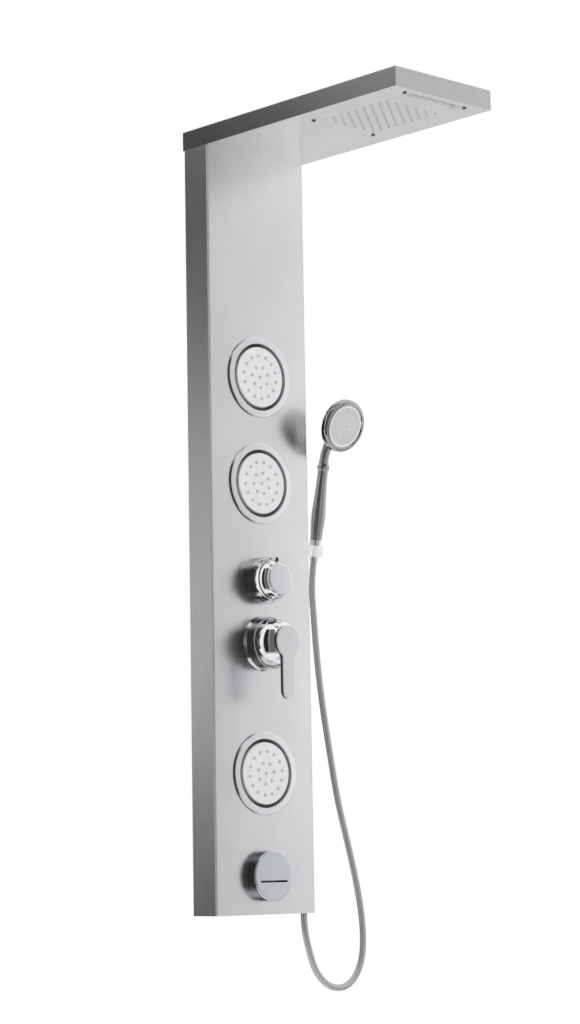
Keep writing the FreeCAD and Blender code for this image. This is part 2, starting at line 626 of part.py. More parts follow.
def chamber_screws():
    screws = []
    for x, y in chamber_screw_places():
        shank = rod((x, y, TOP), (x, y, TOP + CHAMBER_SCREW_DEPTH), CHAMBER_SCREW_RADIUS)
        head = rod((x, y, TOP - CHAMBER_SCREW_PROUD), (x, y, TOP), CHAMBER_SCREW_HEAD)
        screws.append(joined(shank, head))
    return Part.makeCompound(screws)


# ---------------------------------------------------------------- body jets
def jet_ring(z):
    recess_inner = SKIRT_RADIUS + JET_GASKET_INSET
    recess_outer = JET_RING_RADIUS - JET_GASKET_INSET
    steps = [
        (RING_BORE, SKIRT_END), (SKIRT_RADIUS, SKIRT_END), (SKIRT_RADIUS, FRONT),
        (recess_inner, FRONT), (recess_inner, FRONT - JET_GASKET),
        (recess_outer, FRONT - JET_GASKET), (recess_outer, FRONT), (JET_RING_RADIUS, FRONT),
    ]
    steps += front_edge(JET_RING_RADIUS, FACE_FRONT, JET_RING_EDGE)
    steps += [(RING_BORE + JET_RING_LEAD, FACE_FRONT), (RING_BORE, FACE_FRONT + JET_RING_LEAD)]
    return turned(steps, 0, z)


def jet_gasket(z):
    return washer(0, z, FRONT - JET_GASKET, FRONT, JET_RING_RADIUS - JET_GASKET_INSET,
                  SKIRT_RADIUS + JET_GASKET_INSET)


def jet_locknut(z):
    return washer(0, z, INSIDE_FRONT, INSIDE_FRONT + JET_NUT_HEIGHT, JET_NUT_RADIUS, SKIRT_RADIUS)


def jet_housing(z, up, down):
    """The cup behind the face, with the ball socket and the hose barbs."""
    floor_front = SKIRT_END
    plug = washer(0, z, floor_front - JET_FLOOR, floor_front, RING_BORE, RING_BORE - JET_PLUG_WALL)
    floor = round_bar(0, z, floor_front, floor_front + JET_FLOOR, SKIRT_RADIUS)
    boss_radius = SOCKET_RADIUS + JET_SOCKET_WALL
    boss_back = BALL_Y + SOCKET_RADIUS + JET_SOCKET_BACK
    boss = round_bar(0, z, BALL_Y - JET_CUP_HALF, boss_back, boss_radius)
    stub = round_bar(0, z, boss_back, HOSE_PLANE, TEE_RADIUS)
    tee = rod((0, HOSE_PLANE, z - TEE_HALF), (0, HOSE_PLANE, z + TEE_HALF), TEE_RADIUS)
    barbs = [rod((0, HOSE_PLANE, z), (0, HOSE_PLANE, z + way * BARB_END), FEED_RADIUS)
             for way, wanted in ((1, up), (-1, down)) if wanted]
    socket = Part.makeSphere(SOCKET_RADIUS, Vector(0, BALL_Y, z))
    return joined(plug, floor, boss, stub, tee, *barbs).cut(socket)


def jet_ball_cup(z):
    centre = Vector(0, BALL_Y, z)
    slab = round_bar(0, z, BALL_Y - JET_CUP_HALF, BALL_Y + JET_CUP_HALF, CUP_RADIUS + PAST)
    shell = Part.makeSphere(CUP_RADIUS, centre).cut(Part.makeSphere(JET_BALL_RADIUS + RUNNING, centre))
    return shell.common(slab)


def jet_stem(z):
    flange = round_bar(0, z, FACE_BACK - JET_FLANGE, FACE_BACK, JET_POCKET_RADIUS)
    neck = round_bar(0, z, FACE_BACK, BALL_Y, JET_NECK_RADIUS)
    ball = Part.makeSphere(JET_BALL_RADIUS, Vector(0, BALL_Y, z))
    waterway = round_bar(0, z, FACE_BACK - JET_FLANGE - PAST, BALL_Y + JET_BALL_RADIUS + PAST, JET_WATERWAY)
    return joined(flange, neck, ball).cut(waterway)


def jet_face(z, places):
    disc = turned([(0, FACE_BACK), (JET_FACE_RADIUS, FACE_BACK)]
                  + front_edge(JET_FACE_RADIUS, FACE_FRONT, JET_FACE_EDGE) + [(0, FACE_FRONT)], 0, z)
    pocket = round_bar(0, z, FACE_FRONT + JET_FRONT_WALL, FACE_BACK + PAST, JET_POCKET_RADIUS)
    holes = [round_bar(x, z + dz, FACE_FRONT - PAST, FACE_FRONT + JET_FRONT_WALL + PAST, JET_NOZZLE_RADIUS)
             for x, dz in places]
    return disc.cut([pocket] + holes)


def jet_nozzles(z, places):
    back = FACE_FRONT + JET_FRONT_WALL
    mat = round_bar(0, z, back, back + JET_MAT, JET_POCKET_RADIUS)
    tips = [round_bar(x, z + dz, FACE_FRONT - JET_NOZZLE_PROUD, back, JET_NOZZLE_RADIUS) for x, dz in places]
    return mat.fuse(tips)


def jets():
    nodes = {}
    levels = [level(h) for h in JET_HEIGHTS]
    for number, (z, turn) in enumerate(zip(levels, JET_TURNS), start=1):
        places = ring_places(JET_NOZZLE_RINGS, JET_NOZZLE_COUNTS, turn)
        nodes[f"jet_{number}_ring"] = jet_ring(z)
        nodes[f"jet_{number}_face"] = jet_face(z, places)
        nodes[f"jet_{number}_nozzles"] = jet_nozzles(z, places)
        nodes[f"jet_{number}_stem"] = jet_stem(z)
        nodes[f"jet_{number}_ball_cup"] = jet_ball_cup(z)
    first, second, third = levels
    nodes["jet_housings"] = Part.makeCompound([
        jet_housing(first, False, True), jet_housing(second, True, True), jet_housing(third, True, False)])
    nodes["jet_gaskets"] = Part.makeCompound([jet_gasket(z) for z in levels])
    nodes["jet_locknuts"] = Part.makeCompound([jet_locknut(z) for z in levels])
    return nodes


# ---------------------------------------------------------------- diverter
def port_end(name):
    """Direction of a diverter port and the X and Z of its end."""
    angle = math.radians(PORT_ANGLES[name])
    reach = DIVERTER_BODY_RADIUS + PORT_REACH
    return reach * math.cos(angle), level(DIVERTER_HEIGHT) + reach * math.sin(angle)


def diverter_body():
    z = level(DIVERTER_HEIGHT)
    body = round_bar(0, z, INSIDE_FRONT, -BODY_BACK, DIVERTER_BODY_RADIUS)
    neck = round_bar(0, z, FRONT - VALVE_NECK, INSIDE_FRONT, DIVERTER_NECK_RADIUS)
    ports = []
    for name in PORT_ANGLES:
        x, z_end = port_end(name)
        ports.append(rod((0, HOSE_PLANE, z), (x, HOSE_PLANE, z_end), FEED_RADIUS))
    ports.append(rod((0, HOSE_FOOT[1], z), (DIVERTER_BODY_RADIUS + PORT_REACH, HOSE_FOOT[1], z), FEED_RADIUS))
    inlet = rod((0, HOSE_PLANE, z), (0, HOSE_PLANE, z - DIVERTER_BODY_RADIUS - LINK_PORT), LINK_PORT_RADIUS)
    cavity = round_bar(0, z, FRONT - VALVE_NECK - PAST, diverter_cartridge_back(), DIVERTER_CARTRIDGE_RADIUS)
    return joined(body, neck, inlet, *ports).cut(cavity)


def diverter_cartridge_back():
    return -BODY_BACK - BODY_FLOOR


def diverter_spindle_back():
    return INSIDE_FRONT + BODY_WALL


def diverter_cartridge():
    z = level(DIVERTER_HEIGHT)
    front = FRONT - VALVE_NECK
    body = round_bar(0, z, front, diverter_cartridge_back(), DIVERTER_CARTRIDGE_RADIUS)
    bore = round_bar(0, z, front - PAST, diverter_spindle_back() + RUNNING, DIVERTER_SPINDLE_RADIUS + RUNNING)
    return body.cut(bore)


def in_front(place):
    """A turned step from a radius and a distance in front of the column."""
    return place[0], FRONT - place[1]


def diverter_escutcheon():
    mouth = KNOB_RADIUS + SHADOW_GAP
    web = FRONT - BELL_WEB
    shoulder = in_front(DIVERTER_BELL_SHOULDER)
    rim = in_front(DIVERTER_BELL_MOUTH)
    inner = shoulder[0] - BELL_WEB
    return turned([
        (DIVERTER_NECK_RADIUS, FRONT), (DIVERTER_BELL_RADIUS, FRONT),
        (DIVERTER_BELL_RADIUS, FRONT - DIVERTER_BELL_STRAIGHT), (shoulder, rim),
        (mouth, rim[1]), (mouth, rim[1] + BELL_LIP), (inner, shoulder[1]), (inner, web),
        (DIVERTER_NECK_RADIUS, web),
    ], 0, level(DIVERTER_HEIGHT))


def diverter_spindle():
    z = level(DIVERTER_HEIGHT)
    journal = round_bar(0, z, knob_back(), diverter_spindle_back(), DIVERTER_SPINDLE_RADIUS)
    tip = round_bar(0, z, knob_bore_front(), knob_back(), DIVERTER_TIP_RADIUS)
    return joined(journal, tip)


def knob_back():
    return FRONT - DIVERTER_BELL_MOUTH[1] + KNOB_SUNK


def knob_bore_front():
    return FRONT - KNOB_PROUD + 2 * KNOB_EDGE


def diverter_knob():
    face = FRONT - KNOB_PROUD
    steps = [(DIVERTER_TIP_RADIUS, knob_back()), (KNOB_RADIUS, knob_back()),
             (KNOB_RADIUS, FRONT - KNOB_STRAIGHT),
             (in_front(KNOB_SHOULDER), in_front(KNOB_WAIST))]
    steps += front_edge(KNOB_NOSE_RADIUS, face, KNOB_EDGE)
    steps += [(0, face), (0, knob_bore_front()), (DIVERTER_TIP_RADIUS, knob_bore_front())]
    return turned(steps, 0, level(DIVERTER_HEIGHT)).cut(index_pin())


def index_pin():
    top = level(DIVERTER_HEIGHT) + INDEX_PIN_TOP
    y = FRONT - KNOB_PROUD + INDEX_PIN_BEHIND
    return rod((0, y, top - INDEX_PIN_LENGTH), (0, y, top), INDEX_PIN_RADIUS)


# ---------------------------------------------------------------- mixer
def mixer_body():
    z = level(MIXER_HEIGHT)
    body = round_bar(0, z, INSIDE_FRONT, -BODY_BACK, MIXER_BODY_RADIUS)
    neck = round_bar(0, z, FRONT - VALVE_NECK, INSIDE_FRONT, MIXER_NECK_RADIUS)
    arm = rod((-INLET_SPREAD, HOSE_PLANE, z), (INLET_SPREAD, HOSE_PLANE, z), INLET_ARM_RADIUS)
    inlets = []
    for side in (-1, 1):
        x = side * INLET_SPREAD
        inlets.append(Part.makeSphere(INLET_ARM_RADIUS, Vector(x, HOSE_PLANE, z)))
        inlets.append(rod((x, HOSE_PLANE, z), (x, HOSE_PLANE, z - INLET_DROP), INLET_ARM_RADIUS))
        inlets.append(rod((x, HOSE_PLANE, z), (x, HOSE_PLANE, z - INLET_DROP - INLET_THREAD),
                          INLET_THREAD_RADIUS))
    outlet = rod((0, HOSE_PLANE, z), (0, HOSE_PLANE, z + MIXER_BODY_RADIUS + LINK_PORT), LINK_PORT_RADIUS)
    cavity = round_bar(0, z, FRONT - VALVE_NECK - PAST, SHOULDER_Y + CARTRIDGE_LENGTH, CARTRIDGE_RADIUS)
    return joined(body, neck, arm, outlet, *inlets).cut(cavity)


def mixer_cartridge():
    z = level(MIXER_HEIGHT)
    body = round_bar(0, z, SHOULDER_Y, SHOULDER_Y + CARTRIDGE_LENGTH, CARTRIDGE_RADIUS)
    boss = round_bar(0, z, SPINDLE_FRONT, SHOULDER_Y, CARTRIDGE_BOSS_RADIUS)
    bore = round_bar(0, z, SPINDLE_FRONT - PAST, SPINDLE_FRONT + SPINDLE_SUNK, SPINDLE_RADIUS + RUNNING)
    return joined(body, boss).cut(bore)


def cartridge_nut():
    z = level(MIXER_HEIGHT)
    outer = MIXER_NECK_RADIUS + CARTRIDGE_NUT_WALL
    front = SHOULDER_Y - CARTRIDGE_NUT_FLOOR
    cap = washer(0, z, front, SHOULDER_Y, outer, CARTRIDGE_BOSS_RADIUS)
    skirt = washer(0, z, SHOULDER_Y, FRONT - BELL_WEB, outer, MIXER_NECK_RADIUS)
    return joined(cap, skirt)


def mixer_escutcheon():
    front = FRONT - MIXER_BELL_FRONT
    web = FRONT - BELL_WEB
    bore = DOME_RADIUS + SHADOW_GAP
    outer = bore + MIXER_BELL_WALL
    steps = [(MIXER_NECK_RADIUS, FRONT), (MIXER_BELL_RADIUS, FRONT), (MIXER_BELL_RADIUS, FRONT - BELL_LIP),
             (outer, FRONT - 3 * BELL_LIP)]
    steps += front_edge(outer, front, MIXER_BELL_EDGE)
    steps += [(bore, front), (bore, web), (MIXER_NECK_RADIUS, web)]
    return turned(steps, 0, level(MIXER_HEIGHT))


def mixer_spindle():
    z = level(MIXER_HEIGHT)
    shoulder = SPINDLE_FRONT - SPINDLE_PROUD
    journal = round_bar(0, z, shoulder, SPINDLE_FRONT + SPINDLE_SUNK - RUNNING, SPINDLE_RADIUS)
    tongue = box(-TONGUE_HALF, TONGUE_HALF, PIVOT_Y - TONGUE_PAST_PIVOT, shoulder,
                 z - TONGUE_HEIGHT_HALF, z + TONGUE_HEIGHT_HALF)
    cross_bore = rod((-TONGUE_HALF - PAST, PIVOT_Y, z), (TONGUE_HALF + PAST, PIVOT_Y, z),
                     PIVOT_PIN_RADIUS + RUNNING)
    return joined(journal, tongue).cut(cross_bore)


def pin_half():
    return TONGUE_HALF + LUG_GAP + LUG_THICKNESS


def lever_pivot_pin():
    z = level(MIXER_HEIGHT)
    return rod((-pin_half(), PIVOT_Y, z), (pin_half(), PIVOT_Y, z), PIVOT_PIN_RADIUS)


def paddle_outline(y, z):
    """Round head that narrows to a bar with a round lower end."""
    bar = PADDLE_BAR_WIDTH / 2.0
    radius = PADDLE_HEAD_RADIUS
    blend = PADDLE_BLEND
    centre_x = bar + blend
    centre_z = -math.sqrt((radius + blend) ** 2 - centre_x ** 2)
    touch_x = centre_x * radius / (radius + blend)
    touch_z = centre_z * radius / (radius + blend)
    slant = math.atan2(-centre_z, centre_x) / 2.0
    waist_x = centre_x - blend * math.cos(slant)
    waist_z = centre_z + blend * math.sin(slant)
    end_z = -PADDLE_DROP + bar

    def at(x, dz):
        return Vector(x, y, z + dz)

    edges = [
        Part.Arc(at(touch_x, touch_z), at(0, radius), at(-touch_x, touch_z)).toShape(),
        Part.Arc(at(-touch_x, touch_z), at(-waist_x, waist_z), at(-bar, centre_z)).toShape(),
        Part.makeLine(at(-bar, centre_z), at(-bar, end_z)),
        Part.Arc(at(-bar, end_z), at(0, -PADDLE_DROP), at(bar, end_z)).toShape(),
        Part.makeLine(at(bar, end_z), at(bar, centre_z)),
        Part.Arc(at(bar, centre_z), at(waist_x, waist_z), at(touch_x, touch_z)).toShape(),
    ]
    return Part.Face(Part.Wire(edges))


def mixer_lever():
    z = level(MIXER_HEIGHT)
    centre = Vector(0, PIVOT_Y, z)
    paddle_front = FRONT - PADDLE_PROUD
    paddle_back = paddle_front + PADDLE_THICKNESS
    skirt_end = PIVOT_Y + DOME_RADIUS * math.sin(math.radians(DOME_SKIRT_ANGLE))
    dome = Part.makeSphere(DOME_RADIUS, centre).common(
        round_bar(0, z, paddle_back - PADDLE_THICKNESS / 2.0, skirt_end, DOME_RADIUS + PAST))
    cavity = Part.makeSphere(DOME_RADIUS - DOME_WALL, centre)
    paddle = paddle_outline(paddle_front, z).extrude(Vector(0, PADDLE_THICKNESS, 0))
    rim = [e for e in paddle.Edges if e.BoundBox.YMax < paddle_front + PADDLE_EDGE]
    paddle = paddle.makeFillet(PADDLE_EDGE, rim)
    lugs = []
    for side in (-1, 1):
        near = side * (TONGUE_HALF + LUG_GAP)
        far = side * pin_half()
        lugs.append(box(min(near, far), max(near, far), paddle_back, PIVOT_Y, z - LUG_RADIUS, z + LUG_RADIUS))
        lugs.append(rod((near, PIVOT_Y, z), (far, PIVOT_Y, z), LUG_RADIUS))
    return joined(dome.cut(cavity), paddle, *lugs).cut(lever_pivot_pin())


def link_pipe():
    lower = level(MIXER_HEIGHT) + MIXER_BODY_RADIUS + LINK_PORT
    upper = level(DIVERTER_HEIGHT) - DIVERTER_BODY_RADIUS - LINK_PORT

    def upright(z0, z1, radius):
        return rod((0, HOSE_PLANE, z0), (0, HOSE_PLANE, z1), radius)

    pipe = upright(lower, upper, LINK_RADIUS)
    nuts = [upright(lower - LINK_NUT_OVERLAP, lower + LINK_NUT_OVERLAP, LINK_NUT_RADIUS),
            upright(upper - LINK_NUT_OVERLAP, upper + LINK_NUT_OVERLAP, LINK_NUT_RADIUS)]
    ports = [upright(lower - LINK_PORT, lower, LINK_PORT_RADIUS),
             upright(upper, upper + LINK_PORT, LINK_PORT_RADIUS)]
    return joined(pipe, *nuts).cut(ports)


# ---------------------------------------------------------------- tub spout
def spout_body():
    z = level(SPOUT_HEIGHT)
    face = FRONT - SPOUT_PROUD
    disc = turned([(0, FRONT), (SPOUT_RADIUS, FRONT)]
                  + front_edge(SPOUT_RADIUS, face, SPOUT_EDGE) + [(0, face)], 0, z)
    tail = round_bar(0, z, FRONT, SPOUT_TAIL_END, SPOUT_TAIL_RADIUS)
    port = rod((0, HOSE_PLANE, z), (SPOUT_TAIL_RADIUS + SPOUT_PORT_REACH, HOSE_PLANE, z), FEED_RADIUS)
    slot_z = z - SPOUT_SLOT_DROP
    slot = box(-SPOUT_SLOT_HALF, SPOUT_SLOT_HALF, face - PAST, face + SPOUT_SLOT_DEPTH,
               slot_z - SPOUT_SLOT_HEIGHT / 2.0, slot_z + SPOUT_SLOT_HEIGHT / 2.0)
    wall = SPOUT_TAIL_RADIUS - SPOUT_BORE_RADIUS
    bore = round_bar(0, z, face + SPOUT_SLOT_DEPTH / 2.0, SPOUT_TAIL_END - wall, SPOUT_BORE_RADIUS)
    return joined(disc, tail, port).cut([slot, bore])


def spout_nut():
    return hex_nut(0, level(SPOUT_HEIGHT), INSIDE_FRONT, INSIDE_FRONT + SPOUT_NUT_HEIGHT,
                   SPOUT_NUT_RADIUS, SPOUT_TAIL_RADIUS)


# ---------------------------------------------------------------- hoses inside the column
def hose_line(side):
    """X of the riser, on the left, and of the waterfall hose, on the right."""
    return side * (DIVERTER_BODY_RADIUS + PORT_REACH + LINE_FROM_PORT)


def waterfall_line():
    """X of the waterfall hose inside the head, beside the rain chamber."""
    return CHAMBER_HALF + LINE_FROM_CHAMBER


def riser_hose():
    x, z = port_end("riser")
    line = hose_line(-1)
    corner_z = level(DIVERTER_HEIGHT) - line
    back = CHAMBER_SCREW_Y[0] + CHAMBER_WALL + CHAMBER_SCREW_HEAD + PORT_REACH
    top = TOP + HEAD_HOSE_LEVEL
    bend = 2.0 * FEED_RADIUS + HEAD_HOSE_LEVEL
    return feed([(x, HOSE_PLANE, z), (line, HOSE_PLANE, corner_z), (line, HOSE_PLANE, top - bend),
                 (line, HOSE_PLANE - FEED_RADIUS, top - FEED_RADIUS), (line, HOSE_PLANE - bend, top),
                 (line, back, top)])


def waterfall_hose():
    x, z = port_end("waterfall")
    line = hose_line(1)
    corner_z = level(DIVERTER_HEIGHT) + line
    top = TOP + HEAD_HOSE_LEVEL
    bend = 2.0 * FEED_RADIUS + HEAD_HOSE_LEVEL
    side = waterfall_line()
    shift = 2.0 * (side - line)
    return feed([(x, HOSE_PLANE, z), (line, HOSE_PLANE, corner_z), (line, HOSE_PLANE, top - bend),
                 (line, HOSE_PLANE - FEED_RADIUS, top - FEED_RADIUS), (line, HOSE_PLANE - bend, top),
                 (line, FRONT - bend, top), (side, FRONT - bend - shift, top),
                 (side, WATERFALL_REAR_Y + PORT_REACH, top)])


def straight_feed(z0, z1):
    return rod((0, HOSE_PLANE, z0), (0, HOSE_PLANE, z1), FEED_RADIUS)


def jet_hoses():
    first, second, third = (level(h) for h in JET_HEIGHTS)
    up_z = port_end("jets_up")[1]
    down_x, down_z = port_end("jets_down")
    side = -(JET_NUT_RADIUS + LINE_FROM_NUT)
    top_of_third = third + BARB_END
    crossing = top_of_third + CROSSING_ABOVE
    down = feed([(down_x, HOSE_PLANE, down_z), (side, HOSE_PLANE, down_z),
                 (side, HOSE_PLANE, crossing + CROSSING_FALL), (0, HOSE_PLANE, crossing),
                 (0, HOSE_PLANE, top_of_third)])
    return Part.makeCompound([straight_feed(up_z, second - BARB_END),
                              straight_feed(second + BARB_END, first - BARB_END), down])


def spout_hose():
    x, z = port_end("spout")
    line = JET_NUT_RADIUS + LINE_FROM_NUT
    corner_z = level(DIVERTER_HEIGHT) + line * math.tan(math.radians(PORT_ANGLES["spout"]))
    low = level(SPOUT_HEIGHT)
    return feed([(x, HOSE_PLANE, z), (line, HOSE_PLANE, corner_z), (line, HOSE_PLANE, low),
                 (SPOUT_TAIL_RADIUS + SPOUT_PORT_REACH, HOSE_PLANE, low)])


def handset_feed_hose():
    x, y = HOSE_FOOT
    z = level(DIVERTER_HEIGHT)
    return feed([(DIVERTER_BODY_RADIUS + PORT_REACH, y, z), (x, y, z), (x, y, outlet_barb_end())])


# ---------------------------------------------------------------- hand shower, holder and hose
def along_handle(shape):
    """Places a shape built on the handle's own axis, with Z along it and 0 at the holder's middle."""
    x, y, height = HOLDER_AXIS
    shape.rotate(Vector(0, 0, 0), Vector(1, 0, 0), HOLDER_LEAN)
    shape.translate(Vector(x, y, level(height)))
    return shape


def handle_point(x, forward, along):
    """A point in the row frame, from places on the handle's own axis."""
    lean = math.radians(HOLDER_LEAN)
    y = -forward * math.cos(lean) - along * math.sin(lean)
    z = along * math.cos(lean) - forward * math.sin(lean)
    return Vector(HOLDER_AXIS[0] + x, HOLDER_AXIS[1] + y, level(HOLDER_AXIS[2]) + z)


def holder_screw_places():
    return [handle_point(0, 0, side * HOLDER_SCREW_SPREAD) for side in (-1, 1)]


def turned_upright(steps):
    """A body of revolution about Z, from steps of radius and Z."""
    solid = turned(steps)
    solid.rotate(Vector(0, 0, 0), Vector(1, 0, 0), 90)
    return solid


def cone_radius(along):
    """Radius of the hose's cone at a place along its axis."""
    share = (along + CONE_BELOW) / (HOLDER_HALF + CONE_BELOW)
    return CONE_SMALL_RADIUS + (CONE_LARGE_RADIUS - CONE_SMALL_RADIUS) * share


def shower_holder():
    seat_low = cone_radius(-HOLDER_HALF) + 2 * RUNNING
    seat_high = cone_radius(HOLDER_HALF) + 2 * RUNNING
    ring = turned_upright([(seat_low, -HOLDER_HALF), (seat_high + HOLDER_WALL, -HOLDER_HALF),
                           (seat_high + HOLDER_WALL, HOLDER_HALF), (seat_high, HOLDER_HALF)])
    reach = HOLDER_AXIS[0] - HALF
    arm = box(-reach, 0, -HOLDER_ARM_HALF, HOLDER_ARM_HALF, -HOLDER_HALF, HOLDER_HALF)
    arm = arm.cut(rod((0, 0, -HOLDER_HALF - PAST), (0, 0, HOLDER_HALF + PAST), seat_high + HOLDER_WALL / 2.0))
    slot_half = HOSE_DIAMETER / 2.0 + HOLDER_SLOT_CLEARANCE
    outside = seat_high + HOLDER_WALL
    slot = box(0, outside + PAST, -slot_half, slot_half, -HOLDER_HALF - PAST, HOLDER_HALF + PAST)
    block = joined(ring, arm).cut(slot)
    holes = [rod((-reach - PAST, 0, side * HOLDER_SCREW_SPREAD),
                 (-reach + HOLDER_SCREW_DEPTH, 0, side * HOLDER_SCREW_SPREAD), HOLDER_SCREW_RADIUS)
             for side in (-1, 1)]
    return along_handle(block.cut(holes))


def holder_screws():
    screws = []
    for place in holder_screw_places():
        head = rod((INSIDE_HALF - HOLDER_SCREW_HEAD_HEIGHT, place.y, place.z),
                   (INSIDE_HALF, place.y, place.z), HOLDER_SCREW_HEAD)
        shank = rod((INSIDE_HALF, place.y, place.z), (HALF + HOLDER_SCREW_DEPTH, place.y, place.z),
                    HOLDER_SCREW_RADIUS)
        screws.append(joined(head, shank))
    return Part.makeCompound(screws)


def hose_cone_nut():
    top = HANDLE_START
    return along_handle(turned_upright([
        (0, -CONE_BELOW), (CONE_SMALL_RADIUS, -CONE_BELOW), (CONE_LARGE_RADIUS, HOLDER_HALF),
        (CONE_LARGE_RADIUS, top), (CONE_SOCKET_RADIUS, top), (CONE_SOCKET_RADIUS, top - CONE_SOCKET_DEPTH),
        (0, top - CONE_SOCKET_DEPTH),
    ]))


def handle_barrel():
    """The turned part of the handset: stub, grip, collar and the start of the neck."""
    start = HANDLE_START
    points = [Vector(r, start + s, 0) for r, s in HANDLE_OUTLINE]
    grip = Part.BSplineCurve()
    grip.interpolate(points)
    collar = start + COLLAR_START
    stub = CONE_SOCKET_RADIUS - RUNNING
    stub_end = start - CONE_SOCKET_DEPTH + 2 * RUNNING
    after = [Vector(*p, 0) for p in (
        (COLLAR_RADIUS, collar), (COLLAR_RADIUS, collar + COLLAR_LENGTH),
        (NECK_START_RADIUS + (COLLAR_RADIUS - NECK_START_RADIUS) / 3.0, collar + COLLAR_LENGTH + COLLAR_TAPER),
        (NECK_START_RADIUS, start + NECK_START), (0, start + NECK_START), (0, stub_end), (stub, stub_end),
        (stub, points[0].y))]
    loop = [points[-1]] + after + [points[0]]
    edges = [grip.toShape()] + [Part.makeLine(a, b) for a, b in zip(loop, loop[1:])]
    solid = Part.Face(Part.Wire(edges)).revolve(Vector(0, 0, 0), Vector(0, 1, 0), 360)
    solid.rotate(Vector(0, 0, 0), Vector(1, 0, 0), 90)
    return solid


def handset_neck():
    start = HANDLE_START
    foot = Part.makeCircle(NECK_START_RADIUS, Vector(0, 0, start + NECK_START), Vector(0, 0, 1))
    sections = [Part.Wire([foot])]
    for forward, along, radius, lean in NECK_STEPS:
        tilt = math.radians(lean)
        way = Vector(0, -math.sin(tilt), math.cos(tilt))
        sections.append(Part.Wire([Part.makeCircle(radius, Vector(0, -forward, start + along), way)]))
    return Part.makeLoft(sections, True, False)


def place_handset_head(shape):
    """Tilts a piece of the handset's head and sets it at the top of the handle."""
    shape.rotate(Vector(0, 0, 0), Vector(1, 0, 0), HEAD_TILT)
    shape.translate(Vector(0, -HEAD_FORWARD, HANDLE_START + HEAD_ALONG))
    return shape


def hand_shower_body():
    floor = HANDSET_DISC_SUNK + HANDSET_DISC_THICKNESS
    head = turned([(0, HANDSET_DEPTH), (HANDSET_BACK_MIDDLE, (HANDSET_RADIUS, HANDSET_RIM))]
                  + front_edge(HANDSET_RADIUS, 0, HANDSET_RIM_EDGE)
                  + [(HANDSET_DISC_RADIUS, HANDSET_DISC_SUNK), (HANDSET_DISC_RADIUS, floor), (0, floor)])
    return along_handle(joined(handle_barrel(), handset_neck(), place_handset_head(head)).cut(
        place_handset_head(round_bar(0, 0, HANDSET_DISC_SUNK - PAST, floor, HANDSET_DISC_RADIUS))))


def hand_shower_face():
    disc = round_bar(0, 0, HANDSET_DISC_SUNK, HANDSET_DISC_SUNK + HANDSET_DISC_THICKNESS, HANDSET_DISC_RADIUS)
    holes = [round_bar(x, z, HANDSET_DISC_SUNK - PAST, HANDSET_DISC_SUNK + HANDSET_HOLE_DEPTH,
                       HANDSET_HOLE_RADIUS)
             for x, z in ring_places(HANDSET_HOLE_RINGS, HANDSET_HOLE_COUNTS)]
    return along_handle(place_handset_head(disc.cut(holes)))


def outlet_barb_end():
    return level(SKIRT) + SHEET + OUTLET_LOCKNUT_HEIGHT + OUTLET_BARB


def hose_outlet():
    x, y = HOSE_FOOT
    plate_bottom = level(SKIRT)
    plate_top = plate_bottom + SHEET

    def upright(z0, z1, radius):
        return rod((x, y, z0), (x, y, z1), radius)

    nut_floor = level(HOSE_FOOT_HEIGHT) + OUTLET_NUT_FLOOR
    fitting = joined(upright(nut_floor, plate_top + OUTLET_LOCKNUT_HEIGHT, OUTLET_THREAD_RADIUS),
                     upright(plate_bottom - OUTLET_FLANGE, plate_bottom, OUTLET_NUT_RADIUS),
                     upright(plate_top, outlet_barb_end(), FEED_RADIUS))
    locknut = upright(plate_top, plate_top + OUTLET_LOCKNUT_HEIGHT, OUTLET_LOCKNUT_RADIUS).cut(
        upright(plate_top - PAST, plate_top + OUTLET_LOCKNUT_HEIGHT + PAST, OUTLET_THREAD_RADIUS))
    return Part.makeCompound([fitting, locknut])


def hose_lower_nut():
    x, y = HOSE_FOOT
    foot = level(HOSE_FOOT_HEIGHT)
    nut = rod((x, y, foot), (x, y, foot + OUTLET_NUT_HEIGHT), OUTLET_NUT_RADIUS)
    thread = rod((x, y, foot + OUTLET_NUT_FLOOR), (x, y, foot + OUTLET_NUT_HEIGHT + PAST),
                 OUTLET_THREAD_RADIUS)
    return nut.cut(thread)


def shower_hose():
    lead = [handle_point(0, 0, -CONE_BELOW), handle_point(0, 0, -CONE_BELOW - HOSE_LEAD)]
    points = [tuple(p) for p in lead]
    points += [(x, y, level(height)) for x, y, height in HOSE_ROUTE]
    points.append((HOSE_FOOT[0], HOSE_FOOT[1], level(HOSE_FOOT_HEIGHT)))
    tube, length, radii = bent_tube(points, HOSE_DIAMETER / 2.0)
    section = math.pi * HOSE_DIAMETER ** 2 / 4.0
    print("shower hose length", round(length, 1), "volume against section x length",
          round(tube.Volume / (section * length), 5))
    print("shower hose bend radii", [round(r) for r in radii])
    return tube


